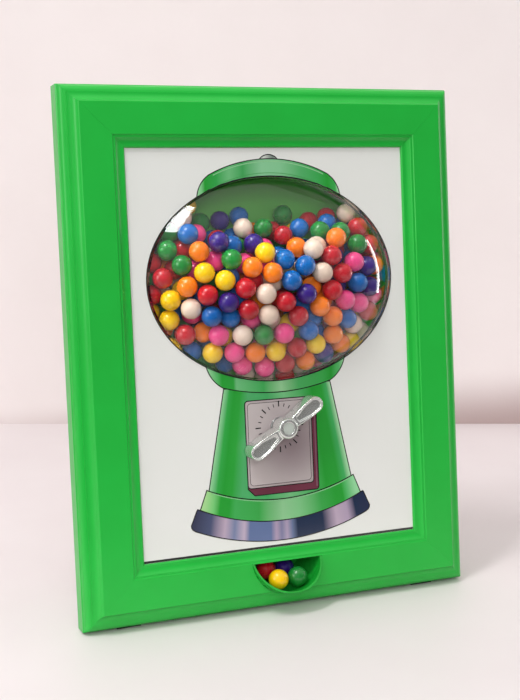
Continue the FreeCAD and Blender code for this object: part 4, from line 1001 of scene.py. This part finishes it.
    def ticks(self) -> None:
        """A plain ring of dial ticks round the crank, every third one long."""
        marks = []
        for index in range(self.tick_count):
            turn = math.tau * index / self.tick_count
            length, width = self.short_tick if index % 3 else self.long_tick
            out = (math.cos(turn), math.sin(turn))
            start, end = self.tick_radius, self.tick_radius + length
            corners = ((start, width), (start, -width), (end, -width), (end, width))
            outline = [(out[0] * reach - out[1] * side,
                        self.crank_height + out[1] * reach + out[0] * side)
                       for reach, side in corners]
            marks.append(self.shape(f"print_tick_{index:02d}", outline, 8, None, hand=False))
        dial = joined(marks)
        dial.name = "print_dial_ticks"
        hand_over(dial, MACHINE, "printed_panel")

    def ribbon(self, name: str, path: list[Point], half: float, layer: int, colour: Colour) -> None:
        """Prints a thin line along a path, on a number of layers of ink."""
        outline = [(x, z + half) for x, z in path] + [(x, z - half) for x, z in reversed(path)]
        self.shape(name, outline, layer, self.plain(f"{name}_ink", colour, GREEN_SOFT),
                   line=self.hair_line)

    def globe_ring(self) -> None:
        """The drawn black line round the clear globe."""
        turns = [math.tau * step / self.globe_steps for step in range(self.globe_steps)]
        reach = self.globe_line
        outline = [((self.globe_half_width + reach) * math.cos(turn),
                    self.globe_centre + (self.globe_half_height + reach) * math.sin(turn))
                   for turn in turns]
        self.shape("print_globe_line", outline, 9, None, line=reach, open_middle=True)

    def lay_gap_shadow(self) -> None:
        """A painted shadow: a dark strip along the panel's lower edge, where it goes behind the
        frame and the gap under the lip lies in shade.
        """
        half, low, high = self.sight_half, self.sight_low, self.sight_low + self.gap_shadow_width
        outline = [(-half, low), (half, low), (half, high), (-half, high)]
        # A dark sheet where there is only shade: the painted shadow in the gap under the frame's
        # lower lip.
        self.shape("painted_gap_shadow", outline, 1, None)

    def plain(self, name: str, shade: Colour, deep: Colour) -> Material:
        """A printed colour that wanders between two shades."""
        return Ink(name, shade, deep, mottle=PLAIN_MOTTLE).build()

    def shaded_by_crank(self, name: str, shade: Colour, deep: Colour) -> Material:
        """A printed colour that darkens from the plate's corners towards the crank, as painted
        shadow of its handle.
        """
        centre = self.lean.matrix() @ (Vector((*self.crank_shadow_centre, 0)).xzy * MM)
        return CrankShadowInk(name, shade, deep, centre=tuple(centre), reach=self.crank_shadow_reach).build()

    def bands(self, name: str, stops: tuple, half: float, level: float,
              flare: float = 0.0) -> Material:
        """A printed colour in bands over a half width, which flares down from a level."""
        return BandedInk(name, GREEN_MID, GREEN_FULL, stops=stops, half_width=half, level=level,
                         flare=flare, lean=self.lean).build()

    def shape(self, name: str, outline: list[Point], layer: int, fill: Material | None,
              line: float | None = None, open_middle: bool = False,
              hand: bool = True) -> Piece:
        """Prints one shape: a fill with a black line round it.

        Args:
            name: The piece's name.
            outline: Its corners in order, across and along the panel.
            layer: How many layers of ink lie under its surface.
            fill: The fill's material, or None for line colour all over.
            line: Width of the black line.
            open_middle: True to leave only the line.
            hand: True to hand the piece over at once.

        Returns:
            The printed piece.
        """
        deselect()
        bpy.ops.mesh.primitive_circle_add(vertices=len(outline), radius=1.0, fill_type="NGON")
        piece = bpy.context.object
        piece.name = name
        for vertex, (x, z) in zip(piece.data.vertices, outline):
            vertex.co = Vector((x, self.panel_front - layer * self.layer, z)) * MM
        paint(piece, LINE_BLACK.build(), *([fill] if fill else []))
        edit(piece)
        if fill or open_middle:
            bpy.ops.mesh.inset(thickness=(line or self.line) * MM, use_even_offset=True)
        if open_middle:
            bpy.ops.mesh.delete(type="FACE")
        elif fill:
            piece.active_material_index = 1
            bpy.ops.object.material_slot_assign()
        leave_edit()
        if piece.data.polygons[0].normal.y > 0:
            edit(piece)
            bpy.ops.mesh.flip_normals()
            leave_edit()
        modify(piece, "SOLIDIFY", thickness=layer * self.layer * MM, offset=-1.0)
        settle(piece, self.lean.matrix())
        if hand:
            hand_over(piece, MACHINE, "printed_panel")
        return piece


@dataclass
class Globe:
    """The clear domed window, as a thin shell with a flange behind the panel."""

    lean: LeaningFrame
    half_width: float = 95.7
    half_height: float = 73.6
    centre: float = 241.6
    front: float = -27.0
    rim: float = 4.75
    back: float = 8.0
    wall: float = 1.5
    flange: float = 6.0
    flange_thick: float = 2.0
    steps: int = 36
    spin_steps: int = 112
    weld: float = 0.001
    tint: Colour = (0.985, 0.995, 0.99)

    def profile(self) -> list[Point]:
        """The shell's section as (radius, depth), from the outer crown round to the inner crown."""
        rise = self.rim - self.front
        radius = (self.half_height ** 2 + rise ** 2) / (2 * rise)
        centre = self.front + radius
        inner, far = self.half_height - self.wall, self.back + self.flange_thick
        outside = [self.half_height * step / self.steps for step in range(self.steps + 1)]
        points = [(reach, centre - math.sqrt(radius ** 2 - reach ** 2)) for reach in outside]
        points += [(self.half_height, self.back), (self.half_height + self.flange, self.back),
                   (self.half_height + self.flange, far), (inner, far)]
        inside = [inner * (1 - step / self.steps) for step in range(self.steps + 1)]
        points += [(reach, centre - math.sqrt((radius - self.wall) ** 2 - reach ** 2))
                   for reach in inside]
        return points

    def build(self) -> None:
        """Spins the section round, stretches it to an oval and hands it over."""
        points = self.profile()
        deselect()
        bpy.ops.mesh.primitive_circle_add(vertices=len(points), radius=1.0, fill_type="NOTHING")
        piece = bpy.context.object
        piece.name = "globe_shell"
        for vertex, (reach, depth) in zip(piece.data.vertices, points):
            vertex.co = Vector((reach, depth, 0)) * MM
        edit(piece)
        bpy.ops.mesh.spin(steps=self.spin_steps, angle=math.tau, center=(0, 0, 0), axis=(0, 1, 0))
        bpy.ops.mesh.select_all(action="SELECT")
        bpy.ops.mesh.remove_doubles(threshold=self.weld * MM)
        bpy.ops.mesh.select_all(action="SELECT")
        bpy.ops.mesh.delete_loose()
        bpy.ops.mesh.select_all(action="SELECT")
        bpy.ops.mesh.normals_make_consistent(inside=False)
        leave_edit()
        oval = Matrix.Diagonal((self.half_width / self.half_height, 1, 1, 1))
        settle(piece, Matrix.Translation((0, 0, self.centre * MM)) @ oval)
        settle(piece, self.lean.matrix())
        smooth(piece)
        paint(piece, ClearPlastic("globe_clear", self.tint).build())
        hand_over(piece, MACHINE, "clear_globe", "globe_dome")


@dataclass
class Gumballs:
    """The gumballs of the hopper, the scoop and the wheel, each a slightly uneven ball."""

    lean: LeaningFrame
    radius: float = 7.5
    stretch: Place = (1.0, 0.988, 0.994)
    fineness: tuple[int, int] = (3, 2)
    hidden_depth: float = 13.0
    seed: int = 5
    shells: dict[str, tuple[Colour, Colour]] = field(default_factory=lambda: {
        "red": (srgb(205, 22, 40), srgb(168, 14, 32)),
        "blue": (srgb(2, 112, 192), srgb(0, 88, 166)),
        "pink": (srgb(246, 78, 148), srgb(228, 52, 124)),
        "orange": (srgb(255, 138, 20), srgb(246, 112, 8)),
        "white": (srgb(238, 215, 197), srgb(224, 198, 178)),
        "yellow": (srgb(255, 214, 12), srgb(244, 190, 4)),
        "green": (srgb(30, 146, 58), srgb(16, 112, 40)),
        "purple": (srgb(62, 30, 140), srgb(38, 14, 100)),
    })

    def build(self) -> None:
        """Makes the balls of each colour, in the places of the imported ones."""
        rng = random.Random(self.seed)
        masters = [self.ball(subdivisions) for subdivisions in self.fineness]
        for colour, (shade, deep) in self.shells.items():
            shell = SugarShell(f"{colour}_sugar_shell", shade, deep).build()
            nodes = [f"gumballs_{colour}", f"scoop_gumball_{colour}"]
            if colour == "orange":
                nodes.append("metered_gumball")
            for node in nodes:
                if node in frame["nodes"]:
                    self.heap(node, f"gumball_{colour}", shell, masters, rng)
        for master in masters:
            bpy.data.objects.remove(master)

    def ball(self, subdivisions: int) -> Piece:
        """One ball, not quite round.

        Args:
            subdivisions: How finely its faces are divided.

        Returns:
            The ball, at the origin.
        """
        deselect()
        bpy.ops.mesh.primitive_ico_sphere_add(subdivisions=subdivisions, radius=self.radius * MM)
        ball = bpy.context.object
        edit(ball)
        bpy.ops.transform.resize(value=self.stretch)
        leave_edit()
        bpy.ops.object.shade_smooth()
        return ball

    def heap(self, node: str, slot: str, shell: Material,
             masters: list[Piece], rng: random.Random) -> None:
        """Copies the ball to the place of every ball of a node, and joins the copies.

        Args:
            node: The node that the heap stands for.
            slot: The record's material slot.
            shell: The balls' material.
            masters: The ball modelled for the front, and the plainer one for behind.
            rng: Seeded random numbers.
        """
        to_row = self.lean.matrix()
        copies = []
        for points in solids_of(node, to_row.inverted()):
            centre = Vector((points.min(axis=0) + points.max(axis=0)) / 2) * MM
            seen = node.startswith("scoop") or centre.y < self.hidden_depth * MM
            master = masters[0] if seen else masters[1]
            copy = master.copy()
            copy.data = master.data.copy()
            bpy.context.scene.collection.objects.link(copy)
            tone = copy.data.attributes.new(BALL_TONE, "FLOAT", "POINT")
            tone.data.foreach_set("value", [rng.random()] * len(copy.data.vertices))
            angle = rng.uniform(0, math.tau)
            axis = Vector((rng.gauss(0, 1), rng.gauss(0, 1), 1))
            turn = Matrix.Rotation(angle, 4, axis)
            copy.matrix_world = Matrix.Translation(to_row @ centre) @ turn
            copies.append(copy)
        heap = joined(copies)
        settle(heap)
        heap.name = f"{node}_balls"
        paint(heap, shell)
        body = CRANK if node == "metered_gumball" else MACHINE
        hand_over(heap, body, slot, node)


class Coat(Enum):
    """The finishes of the crank and of the pieces that keep their modelled shape.

    Each has a name, two shades and a range of roughness, then the scales of its mottle and of its
    grain, and the grain's height.
    """

    FRAME = Finish("green_frame_paint", srgb(30, 186, 64), srgb(24, 176, 56), (0.36, 0.46),
                   30.0, 700.0, 0.04, coat=0.3, coat_roughness=0.24, ior=1.45)
    PANEL = Finish("panel_sheet", srgb(239, 240, 236), srgb(235, 237, 231), (0.16, 0.22),
                   18.0, 1400.0, 0.01, coat=1.0, coat_roughness=0.03)
    SCOOP = Finish("green_scoop_plastic", srgb(26, 170, 54), srgb(16, 150, 42), (0.24, 0.34),
                   60.0, 800.0, 0.03)
    BOARD = Finish("painted_board", srgb(44, 176, 64), srgb(34, 158, 52), (0.42, 0.56),
                   40.0, 420.0, 0.09)
    HARDBOARD = Finish("hardboard", srgb(132, 98, 66), srgb(104, 74, 48), (0.6, 0.8),
                       160.0, 1100.0, 0.12)
    HOPPER = Finish("green_hopper_sheet", srgb(112, 200, 92), srgb(96, 184, 78), (0.45, 0.6),
                    30.0, 900.0, 0.04)
    NYLON = Finish("mechanism_nylon", srgb(214, 212, 204), srgb(196, 194, 186), (0.4, 0.55),
                   80.0, 1200.0, 0.04)
    STEEL = Finish("plated_steel", (0.58, 0.58, 0.59), (0.46, 0.46, 0.48), (0.24, 0.4),
                   220.0, 1800.0, 0.03, metallic=1.0)
    BRASS = Finish("plain_brass", (0.68, 0.5, 0.22), (0.54, 0.38, 0.15), (0.24, 0.4),
                   200.0, 1800.0, 0.03, metallic=1.0)
    RUBBER = Finish("black_rubber", srgb(34, 34, 34), srgb(24, 24, 24), (0.7, 0.88),
                    200.0, 1500.0, 0.12)
    HANDLE = Finish("handle_plate", (0.78, 0.8, 0.77), (0.72, 0.74, 0.71), (0.2, 0.26),
                    60.0, 1600.0, 0.005, metallic=0.76)
    CAP = Finish("cap_disc", srgb(188, 196, 188), srgb(176, 184, 176), (0.34, 0.46),
                 300.0, 2200.0, 0.02)

    def dress(self, node: str) -> None:
        """Gives a node this finish and leaves its shape.

        Args:
            node: The node's name.
        """
        piece, material = frame["nodes"][node], self.value.build()
        if not piece.material_slots:
            piece.data.materials.append(material)
        for slot in piece.material_slots:
            slot.link = "OBJECT"
            slot.material = material


@dataclass(frozen=True)
class Softened:
    """Nodes that get rounded edges and a finish."""

    coat: Coat
    slot: str
    edge: float
    nodes: tuple[str, ...]
    body: str = MACHINE

    def build(self) -> None:
        """Makes a softened copy of each node and hands it over."""
        for node in self.nodes:
            piece = softened(node, self.edge)
            paint(piece, self.coat.value.build())
            hand_over(piece, self.body, self.slot, node)


SOFTENED = (
    Softened(Coat.FRAME, "frame_paint", 0.45, ("frame_top_rail", "frame_bottom_rail",
                                               "frame_left_stile", "frame_right_stile")),
    Softened(Coat.SCOOP, "scoop_plastic", 0.5, ("scoop_cup",)),
    Softened(Coat.BOARD, "cabinet_board", 0.5, ("cabinet_left_wall", "cabinet_right_wall",
                                                "cabinet_top", "cabinet_bottom")),
    Softened(Coat.HARDBOARD, "back_board", 0.4, ("cabinet_back",)),
    Softened(Coat.BOARD, "cabinet_board", 0.8, ("refill_lid",), LID),
    Softened(Coat.STEEL, "handle_metal", 0.4, ("lid_knob",), LID),
    Softened(Coat.BRASS, "bushing_brass", 0.2, ("lid_hinge_lid_leaves",), LID),
    Softened(Coat.BRASS, "bushing_brass", 0.2, ("lid_hinge_cabinet_leaves",)),
    Softened(Coat.BOARD, "leg_wood", 0.9, ("easel_leg",), LEG),
    Softened(Coat.RUBBER, "foot_rubber", 0.8, ("easel_shoe",), LEG),
    Softened(Coat.RUBBER, "foot_rubber", 0.3, ("foot_pads",)),
    Softened(Coat.STEEL, "plate_steel", 0.25, ("corner_braces", "cabinet_brackets",
                                               "easel_brackets")),
)
KEPT = {
    Coat.PANEL: ("picture_panel",),
    Coat.BOARD: ("mechanism_batten",),
    Coat.STEEL: ("lid_hinge_lid_screws", "lid_hinge_pins", "easel_pin", "corner_brace_screws",
                 "cabinet_bracket_screws", "cabinet_back_screws", "housing_cover_screws",
                 "mechanism_screws", "crank_shaft", "shaft_clip", "handle_screw", "front_bushing"),
    Coat.HOPPER: ("hopper_back", "hopper_left_ramp", "hopper_right_ramp"),
    Coat.NYLON: ("wheel_housing", "housing_cover", "drop_chute", "dispensing_wheel"),
    Coat.BRASS: ("rear_bushing",),
}


@dataclass
class Crank:
    """The cast wing handle and the cap on its hub."""

    lean: LeaningFrame
    angle: float = 34.0
    wing_back: float = -3.5
    wing_deeper: float = 6.8
    wing_slack: float = 0.3
    facing_back: float = 0.99
    voxel: float = 0.2
    smooth_share: float = 0.5
    smooth_rounds: int = 100
    kept_faces: float = 0.7
    cap_edge: float = 0.35

    def build(self) -> None:
        """Deepens and softens the casting, and dresses the cap."""
        handle = merged_copy("crank_handle")
        turned = self.lean.matrix() @ Matrix.Rotation(-math.radians(self.angle), 4, "Y")
        settle(handle, turned.inverted())
        self.deepen(handle)
        modify(handle, "REMESH", mode="VOXEL", voxel_size=self.voxel * MM, use_smooth_shade=True)
        modify(handle, "SMOOTH", factor=self.smooth_share, iterations=self.smooth_rounds)
        modify(handle, "DECIMATE", ratio=self.kept_faces)
        settle(handle, turned)
        bpy.ops.object.shade_smooth()
        paint(handle, Coat.HANDLE.value.build())
        hand_over(handle, CRANK, "handle_metal", "crank_handle")
        Softened(Coat.CAP, "cap_grey", self.cap_edge, ("hub_cap",), CRANK).build()

    def deepen(self, handle: Piece) -> None:
        """Carries both wings further back, to just in front of the panel.

        Args:
            handle: The handle, in its own upright frame.
        """
        edit(handle)
        bpy.ops.mesh.select_all(action="DESELECT")
        bpy.ops.mesh.select_mode(type="FACE")
        leave_edit()
        for face in handle.data.polygons:
            apart = abs(face.center.y - self.wing_back * MM)
            face.select = face.normal.y > self.facing_back and apart < self.wing_slack * MM
        bpy.ops.object.mode_set(mode="EDIT")
        back = {"value": (0.0, self.wing_deeper * MM, 0.0)}
        bpy.ops.mesh.extrude_region_move(TRANSFORM_OT_translate=back)
        leave_edit()


@dataclass(frozen=True)
class Softbox:
    """A rectangular soft lamp: its place, its aim, its width and height, and its watts."""

    name: str
    place: Place
    aim: Place
    size: Point
    power: float
    along: Place = (0.0, 0.0, 1.0)
    in_gloss: bool = True

    def build(self) -> None:
        """Hangs the lamp with its height along a direction, seen in gloss or not."""
        light = bpy.data.lights.new(self.name, "AREA")
        light.shape = "RECTANGLE"
        light.size, light.size_y = self.size
        light.energy = self.power
        lamp = bpy.data.objects.new(self.name, light)
        back = (Vector(self.place) - Vector(self.aim)).normalized()
        across = Vector(self.along).cross(back).normalized()
        lamp.matrix_world = placed(across, back.cross(across), back, Vector(self.place))
        lamp.visible_glossy = self.in_gloss
        lamp.visible_transmission = self.in_gloss
        bpy.context.scene.collection.objects.link(lamp)


SOFTBOXES = (
    Softbox("key_softbox", (-0.73, -0.4, 1.63), (0.0, -0.03, 0.25), (0.22, 0.66), 12.5,
            (-0.245, -0.22, -0.186)),
    Softbox("front_fill", (-0.5, -1.6, 0.75), (0.0, 0.0, 0.22), (0.8, 0.8), 10.5, in_gloss=False),
    Softbox("left_window", (-3.75, -0.93, 1.24), (0.0, 0.0, 0.22), (1.0, 1.6), 24.0),
    Softbox("right_strip", (1.2, -0.06, 0.34), (0.0, 0.0, 0.25), (0.032, 0.62), 1.4),
)


@dataclass
class Studio:
    """The table, the wall behind it, the lamps and the camera."""

    camera_place: Place = (-0.35399, -0.8755, 0.3416)
    camera_heading: float = 22.3
    camera_pitch: float = 9.46
    focal_pixels: float = 1253.4
    picture_height: float = 700.0
    sensor: float = 36.0
    wall_distance: float = 1.5
    # Where the table's painted shade and the wall's painted shadow at its foot begin and end.
    table_fade: Range = (0.42, 0.7)
    foot_fade: Range = (-0.025, 0.05)
    foot_tilt: float = 0.08
    foot_shade: Colour = srgb(184, 163, 161)
    room_width: float = 3.0
    table: tuple[Colour, Colour] = (srgb(232, 224, 225), srgb(229, 220, 221))
    wall: tuple[Colour, Colour] = (srgb(246, 237, 236), srgb(242, 232, 231))
    sky: Colour = (1.0, 0.975, 0.965)
    light_side: Place = (-0.25, -0.35, 1.0)
    light_range: Range = (-0.2, 1.0)
    light_levels: Range = (0.12, 0.92)
    dim_side: Place = (0.05, -1.0, 0.05)
    dim_range: Range = (0.5, 0.85)
    dim_levels: Range = (1.0, 0.24)

    def build(self) -> None:
        """Sets up everything round the object."""
        self.camera()
        self.backdrop()
        for softbox in SOFTBOXES:
            softbox.build()
        self.world()
        bpy.context.scene.view_settings.view_transform = "Standard"

    def heading(self) -> Vector:
        """The level direction in which the camera looks."""
        turn = math.radians(self.camera_heading)
        return Vector((math.sin(turn), math.cos(turn), 0))

    def camera(self) -> None:
        """The photograph's camera."""
        lens = bpy.data.cameras.new("camera")
        lens.sensor_width = self.sensor
        lens.lens = self.focal_pixels * self.sensor / self.picture_height
        camera = bpy.data.objects.new("camera", lens)
        camera.location = self.camera_place
        camera.rotation_euler = (math.radians(90 - self.camera_pitch), 0,
                                 -math.radians(self.camera_heading))
        bpy.context.scene.collection.objects.link(camera)
        bpy.context.scene.camera = camera

    def backdrop(self) -> None:
        """A pale table top that darkens to painted shade towards the camera, and a pale wall square
        to the camera with painted shadow at its foot, clear from behind.
        """
        foot = Vector(self.camera_place) + self.heading() * self.wall_distance
        foot.z = 0
        turn = Matrix.Rotation(-math.radians(self.camera_heading), 4, "Z")
        near = self.heading().dot(Vector(self.camera_place))
        # The table darkens to painted shade towards the camera; the wall darkens to painted shadow
        # at its foot.
        floor = FadingBackdrop("table_white", *self.table, roughness=(0.45, 0.55), mottle=12.0,
                               grain=300.0, grain_height=0.02, ahead=tuple(self.heading()),
                               fade=tuple(near + reach for reach in self.table_fade))
        upward = Vector((0, 0, 1)) - self.heading().cross(Vector((0, 0, 1))) * self.foot_tilt
        wall = FadingBackdrop("wall_white", *self.wall, roughness=(0.8, 0.9), mottle=12.0,
                              grain=160.0, grain_height=0.4, ahead=tuple(upward),
                              fade=tuple(foot.dot(upward) + reach for reach in self.foot_fade),
                              shaded=self.foot_shade)
        half = self.room_width / 2
        for name, tilt, shift, finish in (("table_top", 0.0, -half, floor),
                                          ("room_wall", 90.0, half, wall)):
            deselect()
            bpy.ops.mesh.primitive_plane_add(size=1.0)
            sheet = bpy.context.object
            sheet.name = name
            edit(sheet)
            bpy.ops.transform.resize(value=(self.room_width, self.room_width, 1.0))
            bpy.ops.transform.translate(value=(0.0, shift, 0.0))
            leave_edit()
            upright = Matrix.Rotation(math.radians(tilt), 4, "X")
            settle(sheet, Matrix.Translation(foot) @ turn @ upright)
            paint(sheet, finish.build())
        behind = ShaderTree(wall.build().node_tree).add("NewGeometry").outputs["Backfacing"]
        show_through(wall.build(), behind)

    def world(self) -> None:
        """Soft light that falls mostly from above, in a room that is dim on the camera's side."""
        world = bpy.data.worlds.new("soft_room")
        world.use_nodes = True
        tree = ShaderTree(world.node_tree)
        way = tree.add("TexCoord").outputs["Generated"]
        height = tree.dot(way, Vector(self.light_side).normalized())
        rise = tree.ramp(height, self.light_range, self.light_levels)
        facing = tree.dot(way, Vector(self.dim_side).normalized())
        dim = tree.ramp(facing, self.dim_range, self.dim_levels, soft=True)
        background = world.node_tree.nodes["Background"]
        background.inputs["Color"].default_value = (*self.sky, 1.0)
        tree.fill(background.inputs["Strength"], tree.maths("MULTIPLY", rise, dim))
        bpy.context.scene.world = world


def main() -> None:
    """Builds the looks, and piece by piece."""
    logging.basicConfig(level=logging.INFO, format="%(message)s")
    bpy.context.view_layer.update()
    lean = LeaningFrame.from_crank(PrintedMachine.panel_front, PrintedMachine.crank_height)
    for group in SOFTENED:
        group.build()
    for coat, nodes in KEPT.items():
        for node in nodes:
            coat.dress(node)
    PrintedMachine(lean).build()
    Globe(lean).build()
    Gumballs(lean).build()
    Crank(lean).build()
    Studio().build()


if __name__ == "__main__":
    main()
